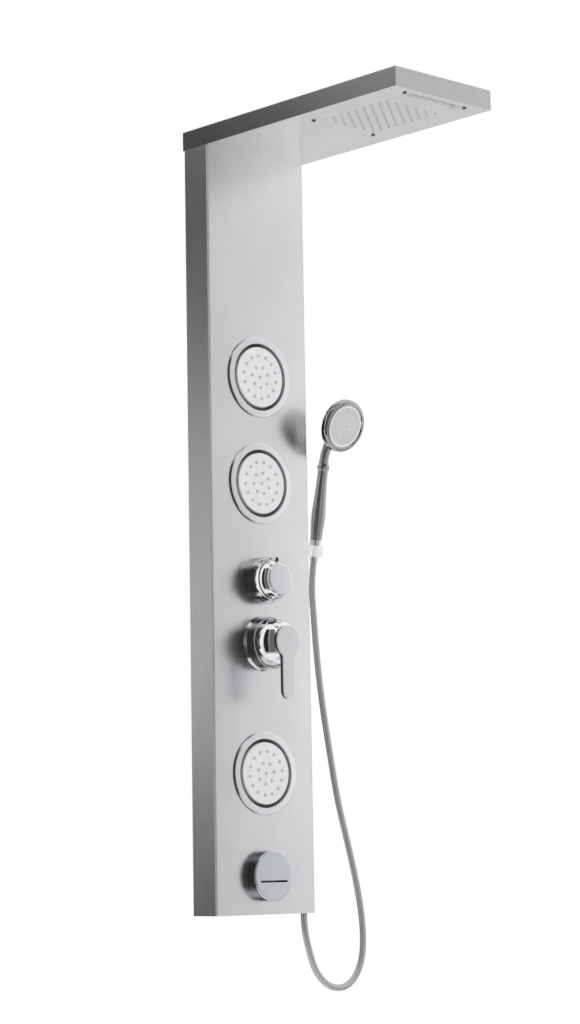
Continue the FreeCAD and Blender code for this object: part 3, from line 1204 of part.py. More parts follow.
# ---------------------------------------------------------------- the whole part
def all_nodes():
    nodes = {
        "column_shell": column_shell(),
        "bottom_plate": bottom_plate(),
        "hanging_rails": hanging_rails(),
        "upper_wall_bracket": wall_bracket(fixing_levels()[0]),
        "lower_wall_bracket": wall_bracket(fixing_levels()[1]),
        "head_cover": head_cover(),
        "head_base": head_base(),
        "head_fixing_screws": head_fixing_screws(),
        "head_fixing_nuts": head_fixing_nuts(),
        "rain_chamber": rain_chamber(),
        "rain_nozzle_mat": rain_nozzle_mat(),
        "waterfall_chamber": waterfall_chamber(),
        "chamber_screws": chamber_screws(),
        "diverter_body": diverter_body(),
        "diverter_cartridge": diverter_cartridge(),
        "diverter_escutcheon": diverter_escutcheon(),
        "diverter_spindle": diverter_spindle(),
        "diverter_knob": diverter_knob(),
        "knob_index_pin": index_pin(),
        "mixer_body": mixer_body(),
        "mixer_cartridge": mixer_cartridge(),
        "cartridge_nut": cartridge_nut(),
        "mixer_escutcheon": mixer_escutcheon(),
        "mixer_spindle": mixer_spindle(),
        "mixer_lever": mixer_lever(),
        "lever_pivot_pin": lever_pivot_pin(),
        "link_pipe": link_pipe(),
        "spout_body": spout_body(),
        "spout_nut": spout_nut(),
        "riser_hose": riser_hose(),
        "waterfall_hose": waterfall_hose(),
        "jet_hoses": jet_hoses(),
        "spout_hose": spout_hose(),
        "handset_feed_hose": handset_feed_hose(),
        "shower_holder": shower_holder(),
        "holder_screws": holder_screws(),
        "hose_cone_nut": hose_cone_nut(),
        "hand_shower_body": hand_shower_body(),
        "hand_shower_face": hand_shower_face(),
        "hose_outlet": hose_outlet(),
        "hose_lower_nut": hose_lower_nut(),
        "shower_hose": shower_hose(),
    }
    nodes.update(jets())
    return nodes


def main():
    os.makedirs("parts", exist_ok=True)
    nodes = all_nodes()
    for name, shape in sorted(nodes.items()):
        if not shape.isValid():
            print("not valid:", name)
        shape.exportStep(f"parts/{name}.step")
    print(len(nodes), "nodes,", sum(len(shape.Solids) for shape in nodes.values()), "solids")


main()
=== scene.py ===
"""Shower panel column: finishes, hose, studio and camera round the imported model.

Metres, in the model's own frame: +X to the right seen from the front, +Y into the wall, +Z up.
The origin is on the wall, midway between the two screws of the upper wall bracket.
"""

from __future__ import annotations

import json
import logging
import math
from dataclasses import dataclass, field
from enum import Enum

import bpy
from mathutils import Matrix, Vector

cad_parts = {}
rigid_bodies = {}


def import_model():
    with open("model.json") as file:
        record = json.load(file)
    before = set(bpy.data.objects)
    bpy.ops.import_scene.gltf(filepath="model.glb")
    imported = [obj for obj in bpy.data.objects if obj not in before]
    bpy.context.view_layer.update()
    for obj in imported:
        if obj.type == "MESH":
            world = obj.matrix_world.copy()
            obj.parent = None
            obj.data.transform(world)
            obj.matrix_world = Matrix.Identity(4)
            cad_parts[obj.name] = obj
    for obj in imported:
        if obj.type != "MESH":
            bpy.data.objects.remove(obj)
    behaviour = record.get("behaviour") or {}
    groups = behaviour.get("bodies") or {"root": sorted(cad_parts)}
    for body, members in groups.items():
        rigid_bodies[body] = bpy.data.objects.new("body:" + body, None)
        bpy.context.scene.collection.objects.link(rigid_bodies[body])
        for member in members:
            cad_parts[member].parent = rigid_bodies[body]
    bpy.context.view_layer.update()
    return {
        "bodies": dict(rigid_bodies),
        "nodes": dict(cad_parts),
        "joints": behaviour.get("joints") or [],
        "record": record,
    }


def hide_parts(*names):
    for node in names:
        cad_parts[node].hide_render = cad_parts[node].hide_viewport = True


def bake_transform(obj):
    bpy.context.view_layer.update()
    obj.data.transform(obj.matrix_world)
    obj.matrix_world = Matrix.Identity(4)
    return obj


logging.basicConfig(level=logging.INFO, format="%(message)s")
LOG = logging.getLogger("shower_panel")

Point = tuple[float, float, float]
Colour = tuple[float, float, float]
Tones = list[tuple[float, float]]
Socket = bpy.types.NodeSocket

COLUMN_FOOT = -1.085

WHITE = (1.0, 1.0, 1.0, 1.0)
NOISE_FROM, NOISE_TO = 0.3, 0.7     # the middle part of a texture's values, which finishes use
WAVE_BAND = 0.314                   # width of a wave texture's bands at a scale of 1
FINE, COARSE = 0.0001, 0.0003       # depths of a finish's relief
REFLECTED_ONCE = 1.5                # lies between one reflection and two


def at_height(x: float, y: float, height: float) -> Point:
    """Turns a place given by its height above the column's lower edge into a point of the frame."""
    return x, y, COLUMN_FOOT + height


def shade(colour: Colour, factor: float) -> Colour:
    """A colour made lighter or darker."""
    return colour[0] * factor, colour[1] * factor, colour[2] * factor


# ------------------------------------------------------------------------------------------
# Node trees
# ------------------------------------------------------------------------------------------
class Nodes:
    """Adds nodes to a tree and joins them."""

    def __init__(self, tree: bpy.types.NodeTree) -> None:
        """Keeps the tree."""
        self.tree = tree

    def node(self, kind: str, **values: object) -> bpy.types.Node:
        """Adds a node.

        Args:
            kind: The node's type.
            **values: Attributes to set on the node.

        Returns:
            The new node.
        """
        made = self.tree.nodes.new(kind)
        for name, value in values.items():
            setattr(made, name, value)
        return made

    def link(self, output: Socket, target: Socket) -> None:
        """Joins two sockets."""
        self.tree.links.new(output, target)

    def maths(self, operation: str, *values: Socket | float) -> Socket:
        """Adds a sum, comparison or the like.

        Args:
            operation: What it does.
            *values: Its inputs, each another node's output or a number.

        Returns:
            The result's socket.
        """
        made = self.node("ShaderNodeMath", operation=operation)
        for target, value in zip(made.inputs, values):
            if isinstance(value, Socket):
                self.link(value, target)
            else:
                target.default_value = value
        return made.outputs["Value"]

    def split(self, vector: Socket) -> bpy.types.NodeOutputs:
        """Takes a vector apart.

        Args:
            vector: The vector's socket.

        Returns:
            The outputs X, Y and Z.
        """
        made = self.node("ShaderNodeSeparateXYZ")
        self.link(vector, made.inputs["Vector"])
        return made.outputs

    def distance(self, place: Socket, centre: Point) -> Socket:
        """Measures how far the surface's points are from a centre.

        Args:
            place: The points' coordinates.
            centre: The centre.

        Returns:
            The distance's socket.
        """
        made = self.node("ShaderNodeVectorMath", operation="DISTANCE")
        self.link(place, made.inputs[0])
        made.inputs[1].default_value = centre
        return made.outputs["Value"]

    def remap(self, value: Socket, source: tuple[float, float], target: tuple[float, float],
              curve: str = "LINEAR") -> Socket:
        """Maps a range of values onto another one.

        Args:
            value: The values.
            source: The range's ends before.
            target: The range's ends after.
            curve: How the values go from one end to the other.

        Returns:
            The mapped values.
        """
        made = self.node("ShaderNodeMapRange", interpolation_type=curve)
        names = ("From Min", "From Max", "To Min", "To Max")
        for name, number in zip(names, (*source, *target)):
            made.inputs[name].default_value = number
        self.link(value, made.inputs["Value"])
        return made.outputs["Result"]

    def ramp(self, value: Socket, stops: list[tuple[float, Colour]],
             curve: str = "LINEAR") -> Socket:
        """Colours values by a ramp.

        Args:
            value: The values.
            stops: Places on the ramp from 0 to 1, with their colours.
            curve: How the colours go over into each other.

        Returns:
            The colour's socket.
        """
        made = self.node("ShaderNodeValToRGB")
        made.color_ramp.interpolation = curve
        marks = made.color_ramp.elements
        while len(marks) < len(stops):
            marks.new(0.5)
        for mark, (place, colour) in zip(marks, stops):
            mark.position = place
            mark.color = (*colour, 1.0)
        self.link(value, made.inputs["Fac"])
        return made.outputs["Color"]

    def mix_colours(self, share: Socket, first: Socket, second: Socket) -> Socket:
        """Mixes two colours.

        Args:
            share: The second colour's share.
            first: The first colour.
            second: The second colour.

        Returns:
            The mixed colour.
        """
        made = self.node("ShaderNodeMix", data_type="RGBA")
        self.link(share, made.inputs["Factor"])
        self.link(first, made.inputs["A"])
        self.link(second, made.inputs["B"])
        return made.outputs["Result"]

    def end_with(self, kind: str, share: Socket, first: Socket, second: Socket) -> None:
        """Ends the tree with a mix of two shaders.

        Args:
            kind: The output node's type.
            share: The second shader's share.
            first: The first shader.
            second: The second shader.
        """
        mix = self.node("ShaderNodeMixShader")
        for target, source in zip(mix.inputs, (share, first, second)):
            self.link(source, target)
        self.link(mix.outputs["Shader"], self.node(kind).inputs["Surface"])

    def seen(self) -> Socket:
        """Tells the rays that show the background: the camera's own, mirrored or through glass.

        Returns:
            A socket that is 1 for those rays and 0 for all others.
        """
        path = self.node("ShaderNodeLightPath").outputs
        mirrored = self.maths("MAXIMUM", path["Is Camera Ray"], path["Is Glossy Ray"])
        return self.maths("MAXIMUM", mirrored, path["Is Transmission Ray"])


def empty_material(name: str) -> tuple[bpy.types.Material, Nodes]:
    """Starts a material of the studio.

    Args:
        name: The material's name.

    Returns:
        The material and its empty tree.
    """
    material = bpy.data.materials.new(name)
    material.use_nodes = True
    material.node_tree.nodes.clear()
    return material, Nodes(material.node_tree)


class Shader(Nodes):
    """A finish under construction: its material, its nodes and its main shader."""

    def __init__(self, name: str, colour: Colour, metallic: float, roughness: float) -> None:
        """Starts a material with plain values on its main shader.

        Args:
            name: The material's name.
            colour: Linear base colour.
            metallic: 1 for bare metal, less for a skin with metal flakes and 0 for the rest.
            roughness: Mean roughness.
        """
        self.material = bpy.data.materials.new(name)
        self.material.use_nodes = True
        super().__init__(self.material.node_tree)
        self.surface = self.tree.nodes["Principled BSDF"]
        self.colour = colour
        self.roughness = roughness
        self.set("Base Color", (*colour, 1.0))
        self.set("Metallic", metallic)
        self.set("Roughness", roughness)
        self.place = self.node("ShaderNodeTexCoord").outputs["Object"]

    def set(self, socket: str, value: float | tuple[float, ...]) -> None:
        """Sets a value on the main shader's own socket."""
        self.surface.inputs[socket].default_value = value

    def noise(self, grain: Grain) -> Socket:
        """Adds a noise that is stretched by its cells along the three axes.

        Args:
            grain: Which noise.

        Returns:
            The noise's value.
        """
        cells, octaves = grain.value
        mapping = self.node("ShaderNodeMapping")
        mapping.inputs["Scale"].default_value = cells
        self.link(self.place, mapping.inputs["Vector"])
        texture = self.node("ShaderNodeTexNoise")
        texture.inputs["Scale"].default_value = 1.0
        texture.inputs["Detail"].default_value = octaves
        self.link(mapping.outputs["Vector"], texture.inputs["Vector"])
        return texture.outputs["Fac"]

    def bands(self, vector: Socket, direction: str, pitch: float) -> Socket:
        """Adds a texture of parallel bands.

        Args:
            vector: Coordinates to read.
            direction: The axis that the bands follow each other along.
            pitch: The distance from one band to the next.

        Returns:
            The bands' value.
        """
        wave = self.node("ShaderNodeTexWave", wave_type="BANDS", bands_direction=direction)
        wave.inputs["Scale"].default_value = WAVE_BAND / pitch
        self.link(vector, wave.inputs["Vector"])
        return wave.outputs["Fac"]

    def tint(self, value: Socket, first: Colour, second: Colour) -> None:
        """Colours the surface between two tones.

        Args:
            value: The texture to follow.
            first: The tone at its low values.
            second: The tone at its high values.
        """
        stops = [(NOISE_FROM, first), (NOISE_TO, second)]
        self.link(self.ramp(value, stops), self.surface.inputs["Base Color"])

    def stain(self, value: Socket, low: float, high: float) -> None:
        """Varies the surface's own colour between a low and a high share of it."""
        self.tint(value, shade(self.colour, low), shade(self.colour, high))

    def wear(self, value: Socket, low: float, high: float) -> None:
        """Varies the roughness.

        Args:
            value: The texture to follow.
            low: The share of the mean roughness at its low values.
            high: The share at its high values.
        """
        ends = (self.roughness * low, self.roughness * high)
        self.link(self.remap(value, (NOISE_FROM, NOISE_TO), ends), self.surface.inputs["Roughness"])

    def relief(self, value: Socket, strength: float, depth: float) -> None:
        """Raises and lowers the surface's shading.

        Args:
            value: The texture to follow.
            strength: How strongly it shows.
            depth: The relief's depth.
        """
        bump = self.node("ShaderNodeBump")
        bump.inputs["Strength"].default_value = strength
        bump.inputs["Distance"].default_value = depth
        self.link(value, bump.inputs["Height"])
        self.link(bump.outputs["Normal"], self.surface.inputs["Normal"])

    def override(self, socket: str, where: Socket, value: float | Colour) -> None:
        """Gives a part of the surface another value.

        Args:
            socket: The main shader's socket, which another node feeds already.
            where: 1 in that part and 0 elsewhere.
            value: The number or colour there.
        """
        target = self.surface.inputs[socket]
        number = isinstance(value, float)
        mix = self.node("ShaderNodeMix", data_type="FLOAT" if number else "RGBA")
        mix.inputs["B"].default_value = value if number else (*value, 1.0)
        self.link(where, mix.inputs["Factor"])
        self.link(target.links[0].from_socket, mix.inputs["A"])
        self.link(mix.outputs["Result"], target)


# ------------------------------------------------------------------------------------------
# Finishes
# ------------------------------------------------------------------------------------------
class Grain(Enum):
    """The noises that finishes follow: cells per metre along X, Y and Z, and octaves."""

    UPRIGHT_LINES = ((900.0, 900.0, 9.0), 5.0)
    FORWARD_LINES = ((900.0, 9.0, 900.0), 5.0)
    CLOUDS = ((14.0, 14.0, 9.0), 2.0)
    WIPED = ((45.0, 45.0, 45.0), 4.0)
    FAINT_CLOUDS = ((20.0, 20.0, 20.0), 1.0)
    PATCHES = ((60.0, 60.0, 60.0), 3.0)
    GRIT = ((1400.0, 1400.0, 1400.0), 2.0)
    TARNISH = ((70.0, 70.0, 70.0), 3.0)
    CAST = ((420.0, 420.0, 420.0), 4.0)
    RUBBED = ((120.0, 120.0, 120.0), 3.0)


@dataclass(frozen=True)
class Finish:
    """What every finish has."""

    name: str
    slot: str
    colour: Colour
    roughness: float

    def shader(self) -> Shader:
        """Builds the finish's nodes, which each kind of finish does in its own way."""
        raise NotImplementedError

    def material(self) -> bpy.types.Material:
        """Builds the finish."""
        return self.shader().material


@dataclass(frozen=True)
class BrushedSheet(Finish):
    """Stainless sheet with fine brush lines and faint cloudy stains."""

    grain: Grain = Grain.UPRIGHT_LINES

    def shader(self) -> Shader:
        """Builds the sheet's nodes.

        Returns:
            The shader.
        """
        shader = Shader(self.name, self.colour, 1.0, self.roughness)
        lines = shader.noise(self.grain)
        shader.stain(shader.noise(Grain.CLOUDS), low=0.97, high=1.02)
        shader.wear(lines, low=0.94, high=1.07)
        shader.relief(lines, strength=0.02, depth=FINE)
        return shader


@dataclass(frozen=True)
class FoldedSheet(BrushedSheet):
    """Stainless sheet that the bending has left dull along its two upright folds."""

    fold_x: float = 0.0972
    fold_y: float = -0.0532
    fold_roughness: float = 0.6

    def shader(self) -> Shader:
        """Builds the sheet's nodes.

        Returns:
            The shader.
        """
        shader = super().shader()
        place = shader.split(shader.place)
        beyond = shader.maths("GREATER_THAN", shader.maths("ABSOLUTE", place["X"]), self.fold_x)
        front = shader.maths("LESS_THAN", place["Y"], self.fold_y)
        fold = shader.maths("MULTIPLY", beyond, front)
        shader.override("Roughness", fold, self.fold_roughness)
        return shader


@dataclass(frozen=True)
class Plating(Finish):
    """Bright plated metal with the faint unevenness of a polished casting."""

    def shader(self) -> Shader:
        """Builds the plating's nodes.

        Returns:
            The shader.
        """
        shader = Shader(self.name, self.colour, 1.0, self.roughness)
        shader.wear(shader.noise(Grain.WIPED), low=0.8, high=1.3)
        shader.stain(shader.noise(Grain.FAINT_CLOUDS), low=0.985, high=1.0)
        return shader


@dataclass(frozen=True)
class BoredPlating(Plating):
    """Bright plating on a ring whose bore, about an axis along Y, is painted a dull grey as painted
    shade in the gap round the jet's face.
    """

    centre: Point = (0.0, 0.0, 0.0)
    reach: float = 1.0
    bore_shade: Colour = (0.36, 0.375, 0.385)
    bore_roughness: float = 0.6

    def shader(self) -> Shader:
        """Builds the ring's nodes.

        Returns:
            The shader.
        """
        shader = super().shader()
        flat = shader.node("ShaderNodeVectorMath", operation="MULTIPLY")
        flat.inputs[1].default_value = (1.0, 0.0, 1.0)
        shader.link(shader.place, flat.inputs[0])
        away = shader.distance(flat.outputs["Vector"], (self.centre[0], 0.0, self.centre[2]))
        shaded_bore = shader.maths("LESS_THAN", away, self.reach)
        # Painted shade: the bore is grey and not metal, for the shade in the gap.
        shader.override("Base Color", shaded_bore, self.bore_shade)
        shader.override("Roughness", shaded_bore, self.bore_roughness)
        shader.link(shader.maths("SUBTRACT", 1.0, shaded_bore), shader.surface.inputs["Metallic"])
        return shader


@dataclass(frozen=True)
class SlottedPlating(Plating):
    """Bright plating whose flat water slot has its inside painted dark, as painted shade."""

    slot_height: float = COLUMN_FOOT + 0.0493
    slot_half: float = 0.0017
    slot_reach: float = 0.0274
    slot_front: float = -0.0728
    slot_back: float = -0.058
    inside: Colour = (0.05, 0.055, 0.07)

    def shader(self) -> Shader:
        """Builds the spout's nodes.

        Returns:
            The shader.
        """
        shader = super().shader()
        place = shader.split(shader.place)
        middle = (self.slot_front + self.slot_back) / 2.0
        depth = shader.maths("COMPARE", place["Y"], middle, (self.slot_back - self.slot_front) / 2.0)
        height = shader.maths("COMPARE", place["Z"], self.slot_height, self.slot_half)
        width = shader.maths("COMPARE", place["X"], 0.0, self.slot_reach)
        slot = shader.maths("MULTIPLY", depth, shader.maths("MULTIPLY", height, width))
        # Painted shade: the slot's inside gets a dark colour for the shade within it.
        shader.override("Base Color", slot, self.inside)
        return shader


@dataclass(frozen=True)
class Moulding(Finish):
    """Moulded plastic or silicone with a faint skin texture."""

    coat: float = 0.0
    skin: float = 0.08
    coat_roughness: float = 0.08

    def shader(self) -> Shader:
        """Builds the moulding's nodes.

        Returns:
            The shader.
        """
        shader = Shader(self.name, self.colour, 0.0, self.roughness)
        shader.set("Coat Weight", self.coat)
        shader.set("Coat Roughness", self.coat_roughness)
        patches = shader.noise(Grain.PATCHES)
        shader.stain(patches, low=0.96, high=1.02)
        shader.wear(patches, low=0.85, high=1.15)
        shader.relief(shader.noise(Grain.GRIT), strength=self.skin, depth=FINE)
        return shader


@dataclass(frozen=True)
class RimmedMoulding(Moulding):
    """A round moulding whose rim, beyond a reach from its centre, is painted another tone as painted
    light.
    """

    centre: Point = (0.0, 0.0, 0.0)
    reach: float = 1.0
    painted_rim: Colour = (0.1, 0.1, 0.1)

    def shader(self) -> Shader:
        """Builds the moulding's nodes.

        Returns:
            The shader.
        """
        shader = super().shader()
        away = shader.distance(shader.place, self.centre)
        # Painted light on the rim: shade in a jet's gap, a highlight on the spray face's bevel.
        shader.override("Base Color", shader.maths("GREATER_THAN", away, self.reach), self.painted_rim)
        return shader


@dataclass(frozen=True)
class MachinedMetal(Finish):
    """Cast and turned metal inside the column."""

    def shader(self) -> Shader:
        """Builds the metal's nodes.

        Returns:
            The shader.
        """
        shader = Shader(self.name, self.colour, 1.0, self.roughness)
        tarnish = shader.noise(Grain.TARNISH)
        shader.stain(tarnish, low=0.8, high=1.05)
        shader.wear(tarnish, low=0.8, high=1.25)
        shader.relief(shader.noise(Grain.CAST), strength=0.25, depth=COARSE)
        return shader


@dataclass(frozen=True)
class Braid(Finish):
    """Wire braid over an inner hose: two families of slanting strands that cross."""

    dark: Colour
    pitch: float = 0.0022
    slant: float = 52.0
    metal: float = 0.9

    def shader(self) -> Shader:
        """Builds the braid's nodes.

        Returns:
            The shader.
        """
        shader = Shader(self.name, self.colour, self.metal, self.roughness)
        families = []
        for slant in (self.slant, -self.slant):
            mapping = shader.node("ShaderNodeMapping")
            mapping.inputs["Rotation"].default_value = (0.0, math.radians(slant), 0.0)
            shader.link(shader.place, mapping.inputs["Vector"])
            families.append(shader.bands(mapping.outputs["Vector"], "X", self.pitch))
        crossed = shader.maths("MULTIPLY", *families)
        shader.tint(crossed, self.dark, self.colour)
        shader.relief(crossed, strength=0.5, depth=COARSE)
        return shader


@dataclass(frozen=True)
class HoseSkin(Finish):
    """Smooth silver skin of the shower hose, with the faint winding of the core under it."""

    metal: float = 0.65
    winding: float = 0.0028
    depth: float = 0.0002

    def shader(self) -> Shader:
        """Builds the skin's nodes.

        Returns:
            The shader.
        """
        shader = Shader(self.name, self.colour, self.metal, self.roughness)
        along = shader.node("ShaderNodeUVMap", uv_map="along").outputs["UV"]
        turns = shader.bands(along, "Y", self.winding)
        shader.stain(turns, low=0.94, high=1.04)
        shader.wear(shader.noise(Grain.RUBBED), low=0.85, high=1.2)
        shader.relief(turns, strength=0.05, depth=self.depth)
        return shader


SHEET = FoldedSheet("brushed_stainless", "brushed_panel", (0.79, 0.795, 0.805), 0.26)
SHEET_BOX = BrushedSheet("brushed_stainless_box", "brushed_panel", (0.74, 0.745, 0.755), 0.18,
                         Grain.FORWARD_LINES)
# Painted light: the head's underside is a lighter copy of the head's brushed steel.
SHEET_UNDERSIDE_LIT = BrushedSheet("brushed_stainless_underside_lit", "brushed_panel",
                               (0.93, 0.935, 0.94), 0.2, Grain.FORWARD_LINES)
ZINC = BrushedSheet("zinc_plate", "zinc_bracket", (0.55, 0.56, 0.57), 0.34)
STEEL = MachinedMetal("plain_steel", "steel_fastener", (0.52, 0.53, 0.54), 0.28)
BRASS = MachinedMetal("cast_brass", "valve_brass", (0.66, 0.47, 0.22), 0.3)
CHROME = Plating("bright_chrome", "polished_chrome", (0.84, 0.85, 0.865), 0.045)
SPOUT = SlottedPlating("spout_chrome", "polished_chrome", (0.66, 0.68, 0.72), 0.1)
HANDSET = Plating("plated_plastic", "handset_chrome", (0.42, 0.432, 0.438), 0.11)
CHAMBER = Moulding("chamber_moulding", "chamber_plastic", (0.88, 0.885, 0.89), 0.3, 0.3)
RAIN_SILICONE = Moulding("pale_silicone", "nozzle_silicone", (0.68, 0.685, 0.7), 0.4)
JET_SILICONE = Moulding("grey_silicone", "nozzle_silicone", (0.47, 0.49, 0.5), 0.5)
INNER = Moulding("inner_moulding", "inner_plastic", (0.62, 0.62, 0.6), 0.42)
HOUSING = Moulding("grey_housing", "inner_plastic", (0.36, 0.368, 0.372), 0.45)
RUBBER = Moulding("black_gasket", "black_rubber", (0.02, 0.02, 0.021), 0.6)
PIN = Moulding("dark_pin", "dark_pin", (0.015, 0.015, 0.017), 0.25, 0.5)
HOLDER = Moulding("white_holder", "holder_plastic", (0.88, 0.88, 0.86), 0.25, 0.3)
BRAIDED = Braid("braided_wire", "inner_hose", (0.62, 0.63, 0.64), 0.34, (0.12, 0.12, 0.125))
HOSE_SKIN = HoseSkin("silver_skin", "silver_hose", (0.46, 0.472, 0.476), 0.28)


class Workshop:
    """Dresses pieces and keeps one material for each finish."""

    def __init__(self, frame: dict) -> None:
        """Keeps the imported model's nodes.

        Args:
            frame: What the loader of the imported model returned.
        """
        self.nodes: dict[str, bpy.types.Object] = frame["nodes"]
        self.materials: dict[str, bpy.types.Material] = {}

    def material(self, finish: Finish) -> bpy.types.Material:
        """Finds the material of a finish, which is built once.

        Args:
            finish: The finish.

        Returns:
            Its material.
        """
        if finish.name not in self.materials:
            self.materials[finish.name] = finish.material()
        return self.materials[finish.name]

    def dress(self, finish: Finish, *names: str) -> None:
        """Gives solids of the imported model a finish.

        Args:
            finish: The finish.
            *names: The solids' names.
        """
        for name in names:
            mesh = self.nodes[name].data
            mesh.materials.clear()
            mesh.materials.append(self.material(finish))
            LOG.info("%s: %s", name, finish.name)

    def middle(self, name: str) -> Point:
        """Finds the middle of a solid's box in the frame.

        Args:
            name: The solid's name.

        Returns:
            The middle.
        """
        corners = [Vector(corner) for corner in self.nodes[name].bound_box]
        lowest, highest = corners[0], corners[6]
        centre = (lowest + highest) / 2.0
        return centre.x, centre.y, centre.z

    def piece(self, name: str, mesh: bpy.types.Mesh, finish: Finish) -> bpy.types.Object:
        """Adds a new piece to the scene.

        Args:
            name: The piece's name.
            mesh: Its mesh, in the frame's own metres.
            finish: Its finish.

        Returns:
            The piece, not yet riding on a body.
        """
        made = bpy.data.objects.new(name, mesh)
        bpy.context.scene.collection.objects.link(made)
        mesh.materials.append(self.material(finish))
        LOG.info("%s: %s", name, finish.name)
        return made


# ------------------------------------------------------------------------------------------
# Hose
# ------------------------------------------------------------------------------------------
def smooth_line(route: list[Point], fineness: int = 48) -> list[Vector]:
    """Reads points from the smooth spline that a route's points control.

    Args:
        route: The route's points.
        fineness: Points read for each of the route's runs.

    Returns:
        Points along the spline, from its first end to its last.
    """
    curve = bpy.data.curves.new("route", "CURVE")
    curve.dimensions = "3D"
    curve.resolution_u = fineness
    spline = curve.splines.new("NURBS")
    spline.points.add(len(route) - 1)
    for control, place in zip(spline.points, route):
        control.co = (*place, 1.0)
    spline.order_u = 3
    spline.use_endpoint_u = True
    carrier = bpy.data.objects.new("route", curve)
    mesh = bpy.data.meshes.new_from_object(carrier)
    line = [v.co.copy() for v in mesh.vertices]
    bpy.data.objects.remove(carrier)
    bpy.data.meshes.remove(mesh)
    bpy.data.curves.remove(curve)
    return line


def even_line(line: list[Vector], step: float) -> list[Vector]:
    """Places points at an even distance along a line.

    Args:
        line: Points along the line.
        step: The wanted distance, rounded so that whole steps fill the line.

    Returns:
        The evenly spaced points.
    """
    gone = [0.0]
    for before, after in zip(line, line[1:]):
        gone.append(gone[-1] + (after - before).length)
    count = max(2, round(gone[-1] / step))
    places = []
    k = 0
    for number in range(count + 1):
        wanted = gone[-1] * number / count
        while k < len(line) - 2 and gone[k + 1] < wanted:
            k += 1
        share = (wanted - gone[k]) / max(gone[k + 1] - gone[k], 1e-9)
        places.append(line[k].lerp(line[k + 1], share))
    return places


@dataclass
class Tube:
    """A round tube along a smooth line."""

    route: list[Point]
    radius: float
    sides: int = 32
    step: float = 0.003

    def rings(self, line: list[Vector]) -> tuple[list[Vector], list[float]]:
        """Sets a ring of points round each point of a line, without twist from one to the next.

        Args:
            line: The line.

        Returns:
            The rings' points, and each ring's distance along the line.
        """
        across = Vector((0.0, 0.0, 1.0)).cross(line[1] - line[0])
        vertices: list[Vector] = []
        marks: list[float] = []
        for k, place in enumerate(line):
            ahead = (line[min(k + 1, len(line) - 1)] - line[max(k - 1, 0)]).normalized()
            across = (across - ahead * across.dot(ahead)).normalized()
            side = ahead.cross(across)
            marks.append(marks[-1] + (place - line[k - 1]).length if k else 0.0)
            for s in range(self.sides):
                angle = 2.0 * math.pi * s / self.sides
                out = across * math.cos(angle) + side * math.sin(angle)
                vertices.append(place + out * self.radius)
        return vertices, marks

    def faces(self, count: int) -> list[tuple[int, ...]]:
        """Joins the rings and closes the tube's two ends.

        Args:
            count: How many rings there are.

        Returns:
            The faces, as the rings' points.
        """
        faces: list[tuple[int, ...]] = []
        for k in range(count - 1):
            for s in range(self.sides):
                a = k * self.sides + s
                b = k * self.sides + (s + 1) % self.sides
                faces.append((a, b, b + self.sides, a + self.sides))
        faces.append(tuple(range(self.sides - 1, -1, -1)))
        last = (count - 1) * self.sides
        faces.append(tuple(range(last, last + self.sides)))
        return faces

    def chart(self, mesh: bpy.types.Mesh, marks: list[float]) -> None:
        """Smooths the tube and charts it round and along, with the distance along in metres.

        Args:
            mesh: The tube's mesh.
            marks: Each ring's distance along the line.
        """
        chart = mesh.uv_layers.new(name="along")
        for face in mesh.polygons:
            face.use_smooth = len(face.vertices) == 4
            places = [mesh.loops[loop].vertex_index % self.sides for loop in face.loop_indices]
            at_seam = any(place > 1 for place in places)
            for loop in face.loop_indices:
                k, s = divmod(mesh.loops[loop].vertex_index, self.sides)
                turn = self.sides if s == 0 and at_seam else s
                chart.data[loop].uv = (turn / self.sides, marks[k])

    def mesh(self, name: str) -> tuple[bpy.types.Mesh, list[Vector]]:
        """Sweeps the tube.

        Args:
            name: The mesh's name.

        Returns:
            The mesh, and the points that it follows.
        """
        line = even_line(smooth_line(self.route), self.step)
        vertices, marks = self.rings(line)
        mesh = bpy.data.meshes.new(name)
        mesh.from_pydata(vertices, [], self.faces(len(line)))
        self.chart(mesh, marks)
        return mesh, line


@dataclass
class ShowerHose:
    """The hand shower's hose: from the cone nut in a loop to its nut under the column."""

    diameter: float = 0.010
    length: float = 0.859
    exit: Point = field(default_factory=lambda: at_height(0.134, -0.0302217, 0.5437431))
    route: list[Point] = field(default_factory=lambda: [
        at_height(0.134, -0.0302217, 0.5437431), at_height(0.134, -0.0243176, 0.5102597),
        at_height(0.138, -0.024, 0.459), at_height(0.142, -0.025, 0.396),
        at_height(0.150, -0.027, 0.321), at_height(0.163, -0.029, 0.244),
        at_height(0.176, -0.031, 0.169), at_height(0.196, -0.033, 0.099),
        at_height(0.213, -0.035, 0.031), at_height(0.222, -0.036, -0.031),
        at_height(0.216, -0.037, -0.082), at_height(0.187, -0.038, -0.115),
        at_height(0.147, -0.039, -0.117), at_height(0.114, -0.040, -0.092),
        at_height(0.097, -0.042, -0.053), at_height(0.088, -0.043, -0.019),
        at_height(0.088, -0.043, 0.008),
    ])
    bend_from: Point = at_height(0.134, -0.03, 0.04)
    bend_to: Point = at_height(0.134, -0.03, 0.54)

    def build(self, shop: Workshop) -> None:
        """Makes the hose along its route, from the cone nut in a loop to its nut under the column.

        Args:
            shop: The workshop.
        """
        mesh, line = Tube(self.route, self.diameter / 2.0).mesh("hand_shower_hose")
        hose = shop.piece("hand_shower_hose", mesh, HOSE_SKIN)
        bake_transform(hose)
        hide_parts("shower_hose")


# ------------------------------------------------------------------------------------------
# Sub-assemblies
# ------------------------------------------------------------------------------------------
@dataclass
class Column:
    """The folded column and what hangs it on the wall."""

    def build(self, shop: Workshop) -> None:
        """Dresses the column's solids."""
        shop.dress(SHEET, "column_shell", "bottom_plate")
        shop.dress(ZINC, "hanging_rails", "upper_wall_bracket", "lower_wall_bracket")


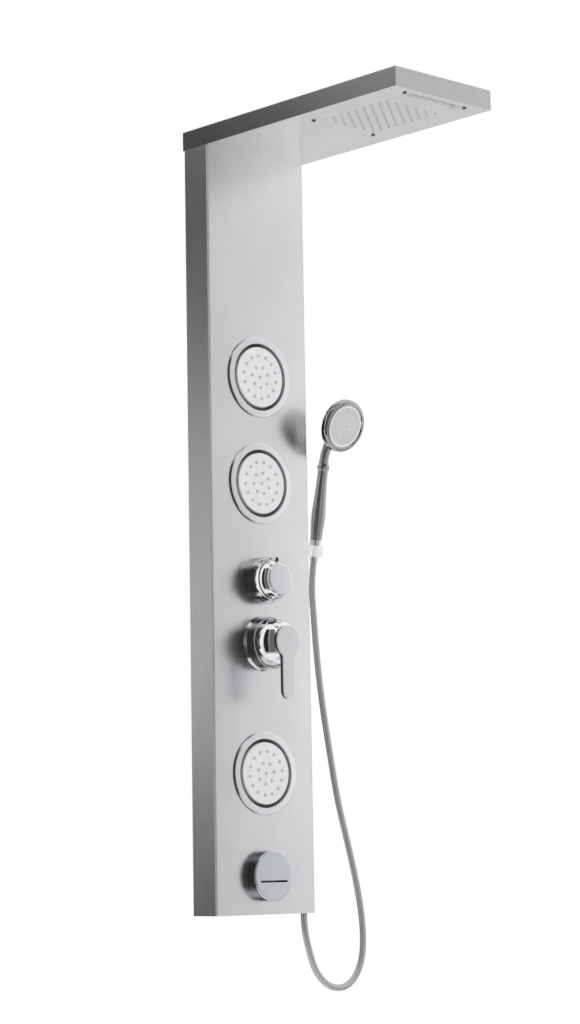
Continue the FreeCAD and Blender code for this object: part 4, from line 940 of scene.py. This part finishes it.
@dataclass
class OverheadBox:
    """The flat box with the rain field and the waterfall slot."""

    def build(self, shop: Workshop) -> None:
        """Dresses the box's solids.

        Args:
            shop: The workshop.
        """
        shop.dress(SHEET_BOX, "head_cover")
        shop.dress(SHEET_UNDERSIDE_LIT, "head_base")
        shop.dress(STEEL, "head_fixing_screws", "head_fixing_nuts", "chamber_screws")
        shop.dress(CHAMBER, "rain_chamber", "waterfall_chamber")
        shop.dress(RAIN_SILICONE, "rain_nozzle_mat")


@dataclass
class BodyJet:
    """One swivelling body jet. Both walls of the gap between its face and ring are painted grey as
    painted shade.
    """

    number: int
    face_reach: float = 0.0463
    ring_bore: float = 0.0523
    face_colour: Colour = (0.76, 0.775, 0.79)
    face_rim_shade: Colour = (0.5, 0.515, 0.525)

    def build(self, shop: Workshop) -> None:
        """Dresses the jet's solids.

        Args:
            shop: The workshop.
        """
        name = f"jet_{self.number}"
        face, ring = f"{name}_face", f"{name}_ring"
        # Painted shade in the gap: the ring's bore and the face's rim are painted grey.
        shop.dress(BoredPlating(f"{ring}_chrome", "polished_chrome", CHROME.colour,
                                CHROME.roughness, centre=shop.middle(ring),
                                reach=self.ring_bore), ring)
        shop.dress(RimmedMoulding(f"{face}_moulding", "jet_face_plastic", self.face_colour, 0.22,
                                  0.4, centre=shop.middle(face), reach=self.face_reach,
                                  painted_rim=self.face_rim_shade), face)
        shop.dress(JET_SILICONE, f"{name}_nozzles")
        shop.dress(INNER, f"{name}_stem", f"{name}_ball_cup")


@dataclass
class Waterworks:
    """Valves, pipes and hoses inside the column."""

    def build(self, shop: Workshop) -> None:
        """Dresses the inner solids.

        Args:
            shop: The workshop.
        """
        shop.dress(HOUSING, "jet_housings")
        shop.dress(INNER, "jet_locknuts", "diverter_cartridge", "mixer_cartridge")
        shop.dress(BRAIDED, "riser_hose", "waterfall_hose", "jet_hoses", "spout_hose",
                   "handset_feed_hose")
        shop.dress(RUBBER, "jet_gaskets")
        shop.dress(BRASS, "diverter_body", "mixer_body", "cartridge_nut", "diverter_spindle",
                   "mixer_spindle", "link_pipe", "hose_outlet", "spout_nut")
        shop.dress(STEEL, "lever_pivot_pin")


@dataclass
class Controls:
    """Diverter knob, mixer lever and tub spout."""

    def build(self, shop: Workshop) -> None:
        """Dresses the bright pieces on the column's front.

        Args:
            shop: The workshop.
        """
        shop.dress(CHROME, "diverter_escutcheon", "diverter_knob", "mixer_escutcheon",
                   "mixer_lever")
        shop.dress(SPOUT, "spout_body")
        shop.dress(PIN, "knob_index_pin")


@dataclass
class HandShower:
    """The hand shower, its holder and the hose's nuts. Its spray face has a painted highlight ring.
    """

    face_colour: Colour = (0.6, 0.61, 0.612)
    highlight_ring: Colour = (0.9, 0.91, 0.91)
    highlight_from: float = 0.0302

    def build(self, shop: Workshop) -> None:
        """Dresses the hand shower's solids.

        Args:
            shop: The workshop.
        """
        face = "hand_shower_face"
        shop.dress(HOLDER, "shower_holder")
        shop.dress(STEEL, "holder_screws")
        shop.dress(HANDSET, "hand_shower_body")
        # Painted highlight: the spray face's bevel is painted as a bright ring.
        shop.dress(RimmedMoulding("spray_face_moulding", "spray_face", self.face_colour, 0.36,
                                  coat=0.1, skin=0.003, centre=shop.middle(face),
                                  reach=self.highlight_from, painted_rim=self.highlight_ring), face)
        shop.dress(CHROME, "hose_cone_nut", "hose_lower_nut")


# ------------------------------------------------------------------------------------------
# Studio
# ------------------------------------------------------------------------------------------
@dataclass
class Card:
    """A large curved card that only reflections see, so that bright metal has something to show.

    Directions are degrees round the object from straight in front, negative to the left. A card
    stands at its distance, with tones by height above the column's foot, or lies at its level,
    with tones by distance. Its tones may go over into others to its right. Where it has first
    tones, a first reflection sees those, and its own tones show only between two pieces that
    mirror each other.
    """

    name: str
    left: float
    right: float
    distance: float
    tones: Tones
    right_tones: Tones = field(default_factory=list)
    change: tuple[float, float] = (0.0, 1.0)
    first_tones: Tones = field(default_factory=list)
    soft: float = 0.1
    level: float | None = None
    centre: tuple[float, float] = (0.0, -0.056)
    columns: int = 48
    rows: int = 4
    coolness: float = 1.01

    def corner(self, column: int, row: int) -> Point:
        """Finds a point of the card.

        Args:
            column: Steps from its left side.
            row: Steps from its first tone.

        Returns:
            The point.
        """
        angle = math.radians(self.left + (self.right - self.left) * column / self.columns)
        first, last = self.tones[0][0], self.tones[-1][0]
        measure = first + (last - first) * row / self.rows
        reach, height = (self.distance, measure) if self.level is None else (measure, self.level)
        return at_height(self.centre[0] + reach * math.sin(angle),
                         self.centre[1] - reach * math.cos(angle), height)

    def build(self) -> None:
        """Makes the card, which is no part of the object."""
        up = self.rows + 1
        vertices = [self.corner(c, r) for c in range(self.columns + 1) for r in range(up)]
        faces = [(c * up + r, (c + 1) * up + r, (c + 1) * up + r + 1, c * up + r + 1)
                 for c in range(self.columns) for r in range(self.rows)]
        mesh = bpy.data.meshes.new(self.name)
        mesh.from_pydata(vertices, [], faces)
        chart = mesh.uv_layers.new(name="card")
        for loop in mesh.loops:
            c, r = divmod(loop.vertex_index, up)
            chart.data[loop.index].uv = (c / self.columns, r / self.rows)
        card = bpy.data.objects.new(self.name, mesh)
        bpy.context.scene.collection.objects.link(card)
        mesh.materials.append(self.material())
        card.visible_camera = False
        card.visible_diffuse = False
        card.visible_transmission = False
        card.visible_volume_scatter = False
        card.visible_shadow = False

    def toned(self, nodes: Nodes, measure: Socket, tones: Tones) -> Socket:
        """Adds tones at measures of the card.

        Args:
            nodes: The card's nodes.
            measure: The share of the card's extent, from 0 to 1.
            tones: Measures and the tones there.

        Returns:
            The colour's socket.
        """
        first, last = self.tones[0][0], self.tones[-1][0]
        stops = [((at - first) / (last - first), (tone, tone, tone * self.coolness))
                 for at, tone in tones]
        return nodes.ramp(measure, stops, "EASE")

    def material(self) -> bpy.types.Material:
        """Builds the card's tones, which fade out at its two sides.

        Returns:
            The material.
        """
        made, nodes = empty_material(self.name)
        place = nodes.split(nodes.node("ShaderNodeUVMap", uv_map="card").outputs["UV"])
        colour = self.toned(nodes, place["Y"], self.tones)
        if self.right_tones:
            other = self.toned(nodes, place["Y"], self.right_tones)
            turn = nodes.remap(place["X"], self.change, (0.0, 1.0), "SMOOTHSTEP")
            colour = nodes.mix_colours(turn, colour, other)
        if self.first_tones:
            depth = nodes.node("ShaderNodeLightPath").outputs["Glossy Depth"]
            once = nodes.maths("LESS_THAN", depth, REFLECTED_ONCE)
            plain = self.toned(nodes, place["Y"], self.first_tones)
            colour = nodes.mix_colours(once, colour, plain)
        glow = nodes.node("ShaderNodeEmission")
        nodes.link(colour, glow.inputs["Color"])
        clear = nodes.node("ShaderNodeBsdfTransparent")
        none, full = (0.0, 0.0, 0.0), (1.0, 1.0, 1.0)
        sides = [(0.0, none), (self.soft, full), (1.0 - self.soft, full), (1.0, none)]
        fade = nodes.ramp(place["X"], sides, "EASE")
        nodes.end_with("ShaderNodeOutputMaterial", fade, clear.outputs["BSDF"],
                     glow.outputs["Emission"])
        return made


@dataclass
class Lamp:
    """A soft square lamp that metal doesn't mirror."""

    name: str
    place: Point
    target: Point
    size: float
    power: float

    def build(self) -> None:
        """Sets up the lamp."""
        data = bpy.data.lights.new(self.name, "AREA")
        data.size = self.size
        data.energy = self.power
        lamp = bpy.data.objects.new(self.name, data)
        lamp.location = self.place
        towards = Vector(self.target) - Vector(self.place)
        lamp.rotation_euler = towards.to_track_quat("-Z", "Y").to_euler()
        lamp.visible_glossy = False
        bpy.context.scene.collection.objects.link(lamp)


@dataclass
class Studio:
    """Pale floor, plain soft light, cards for the reflections, and the camera."""

    floor_height: float = -2.0
    floor_half: float = 30.0
    floor_tone: float = 0.9
    shadow_reach: tuple[float, float] = (0.6, 2.6)
    shadow_white: tuple[float, float] = (0.72, 1.0)
    daylight: float = 0.62
    lens: float = 94.214
    sensor: float = 36.0
    camera_place: Point = at_height(-2.74188, -3.05708, 0.08439)
    yaw: float = 0.751293
    pitch: float = 0.128199
    roll: float = -0.0167781
    lamps: tuple[Lamp, ...] = (
        Lamp("key", (2.6, -3.2, 1.6), (0.0, -0.1, -0.4), 2.4, 60.0),
        Lamp("fill", (-3.0, -2.2, 0.8), (0.0, -0.1, -0.5), 2.4, 34.0),
        Lamp("rear", (0.6, 2.6, 1.2), (0.0, 0.0, -0.5), 2.0, 24.0),
    )
    cards: tuple[Card, ...] = (
        Card("left_back_card", -172.0, -128.0, 3.0, soft=0.08,
             tones=[(-0.9, 0.06), (-0.03, 0.08), (0.18, 0.2), (0.4, 0.46), (0.6, 0.58),
                    (0.77, 0.56), (0.95, 0.49), (1.17, 0.41), (1.3, 0.27), (1.46, 0.17),
                    (1.57, 0.1), (1.71, 0.045), (1.84, 0.03), (1.95, 0.03), (2.1, 0.06),
                    (2.3, 0.3), (2.6, 1.0)]),
        Card("left_card", -132.0, -101.0, 2.9, soft=0.12,
             tones=[(-0.9, 0.03), (2.4, 0.05), (3.0, 1.0)],
             first_tones=[(-0.9, 0.05), (0.5, 0.17), (1.6, 0.07), (3.0, 0.7)]),
        Card("hub_card", -86.0, -58.0, 0.95, soft=0.2, tones=[(-0.5, 0.02), (1.9, 0.02)]),
        Card("hub_side_card", -66.0, -20.0, 0.9, soft=0.3, tones=[(-0.5, 0.02), (1.9, 0.02)],
             first_tones=[(-0.5, 0.14), (1.9, 0.14)]),
        Card("camera_side_card", -86.0, 12.0, 3.0, soft=0.06,
             tones=[(-0.9, 0.02), (2.9, 0.02), (3.6, 1.0)],
             first_tones=[(-0.9, 0.4), (0.2, 0.52), (1.0, 0.58), (1.8, 0.54), (3.6, 1.0)]),
        Card("middle_card", 4.0, 36.0, 0.95,
             tones=[(-0.4, 0.04), (1.08, 0.04), (1.22, 0.6), (1.75, 0.6)],
             first_tones=[(-0.4, 0.42), (0.4, 0.46), (1.22, 0.6), (1.75, 0.6)]),
        Card("front_card", 30.0, 66.0, 1.0, change=(0.22, 0.54),
             tones=[(-0.4, 0.76), (-0.05, 0.72), (0.3, 0.66), (0.6, 0.64), (0.9, 0.66), (1.2, 0.7),
                    (1.38, 0.8), (1.75, 0.84)],
             right_tones=[(-0.4, 0.74), (0.05, 0.86), (0.25, 0.98), (0.9, 1.0), (1.08, 0.9),
                          (1.25, 0.84), (1.38, 0.88), (1.75, 0.92)]),
        Card("right_back_card", 108.0, 170.0, 3.0,
             tones=[(-0.9, 0.58), (0.2, 0.58), (0.9, 0.7), (1.6, 1.0)]),
        Card("ground_card", -100.0, 115.0, 0.0, level=-0.9, tones=[(1.05, 0.04), (17.0, 0.04)],
             first_tones=[(1.05, 0.44), (3.0, 0.54), (6.0, 0.6), (17.0, 0.66)]),
    )

    def build(self) -> None:
        """Sets the stage."""
        self.camera()
        self.world()
        self.floor()
        for prop in (*self.cards, *self.lamps):
            prop.build()
        bpy.context.scene.view_settings.view_transform = "Standard"

    def world(self) -> None:
        """White to the camera and in reflections, and plain daylight for everything else."""
        world = bpy.data.worlds.new("studio")
        bpy.context.scene.world = world
        world.use_nodes = True
        world.node_tree.nodes.clear()
        nodes = Nodes(world.node_tree)
        day, white = nodes.node("ShaderNodeBackground"), nodes.node("ShaderNodeBackground")
        for background in (day, white):
            background.inputs["Color"].default_value = WHITE
        day.inputs["Strength"].default_value = self.daylight
        nodes.end_with("ShaderNodeOutputWorld", nodes.seen(), day.outputs["Background"],
                     white.outputs["Background"])

    def floor(self) -> None:
        """A pale floor that keeps a soft shadow under the object and is white farther out."""
        half = self.floor_half
        mesh = bpy.data.meshes.new("floor")
        mesh.from_pydata([(-half, -half, 0.0), (half, -half, 0.0), (half, half, 0.0),
                          (-half, half, 0.0)], [], [(0, 1, 2, 3)])
        floor = bpy.data.objects.new("floor", mesh)
        floor.location = (0.0, 0.0, self.floor_height)
        bpy.context.scene.collection.objects.link(floor)
        made, nodes = empty_material("pale_floor")
        matt = nodes.node("ShaderNodeBsdfDiffuse")
        matt.inputs["Color"].default_value = (*(self.floor_tone,) * 3, 1.0)
        glow = nodes.node("ShaderNodeEmission")
        glow.inputs["Color"].default_value = WHITE
        place = nodes.node("ShaderNodeTexCoord").outputs["Object"]
        away = nodes.distance(place, (0.0, 0.0, 0.0))
        white = nodes.remap(away, self.shadow_reach, self.shadow_white, "SMOOTHSTEP")
        nodes.end_with("ShaderNodeOutputMaterial", nodes.maths("MULTIPLY", nodes.seen(), white),
                     matt.outputs["BSDF"], glow.outputs["Emission"])
        mesh.materials.append(made)

    def camera(self) -> None:
        """The camera at the photograph's place and angle."""
        ahead = Vector((math.sin(self.yaw) * math.cos(self.pitch),
                        math.cos(self.yaw) * math.cos(self.pitch), math.sin(self.pitch)))
        level = Vector((math.cos(self.yaw), -math.sin(self.yaw), 0.0))
        upward = level.cross(ahead)
        right = level * math.cos(self.roll) + upward * math.sin(self.roll)
        above = upward * math.cos(self.roll) - level * math.sin(self.roll)
        data = bpy.data.cameras.new("camera")
        data.lens = self.lens
        data.sensor_fit = "AUTO"
        data.sensor_width = self.sensor
        camera = bpy.data.objects.new("camera", data)
        turn = Matrix((right, above, -ahead)).transposed().to_4x4()
        camera.matrix_world = Matrix.Translation(self.camera_place) @ turn
        bpy.context.scene.collection.objects.link(camera)
        bpy.context.scene.camera = camera


def main() -> None:
    """Builds the shower panel and its studio."""
    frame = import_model()
    shop = Workshop(frame)
    Studio().build()
    for part in (ShowerHose(), Column(), OverheadBox(), BodyJet(1), BodyJet(2), BodyJet(3),
                 Waterworks(), Controls(), HandShower()):
        part.build(shop)
        LOG.info("built %s", type(part).__name__)


if __name__ == "__main__":
    main()
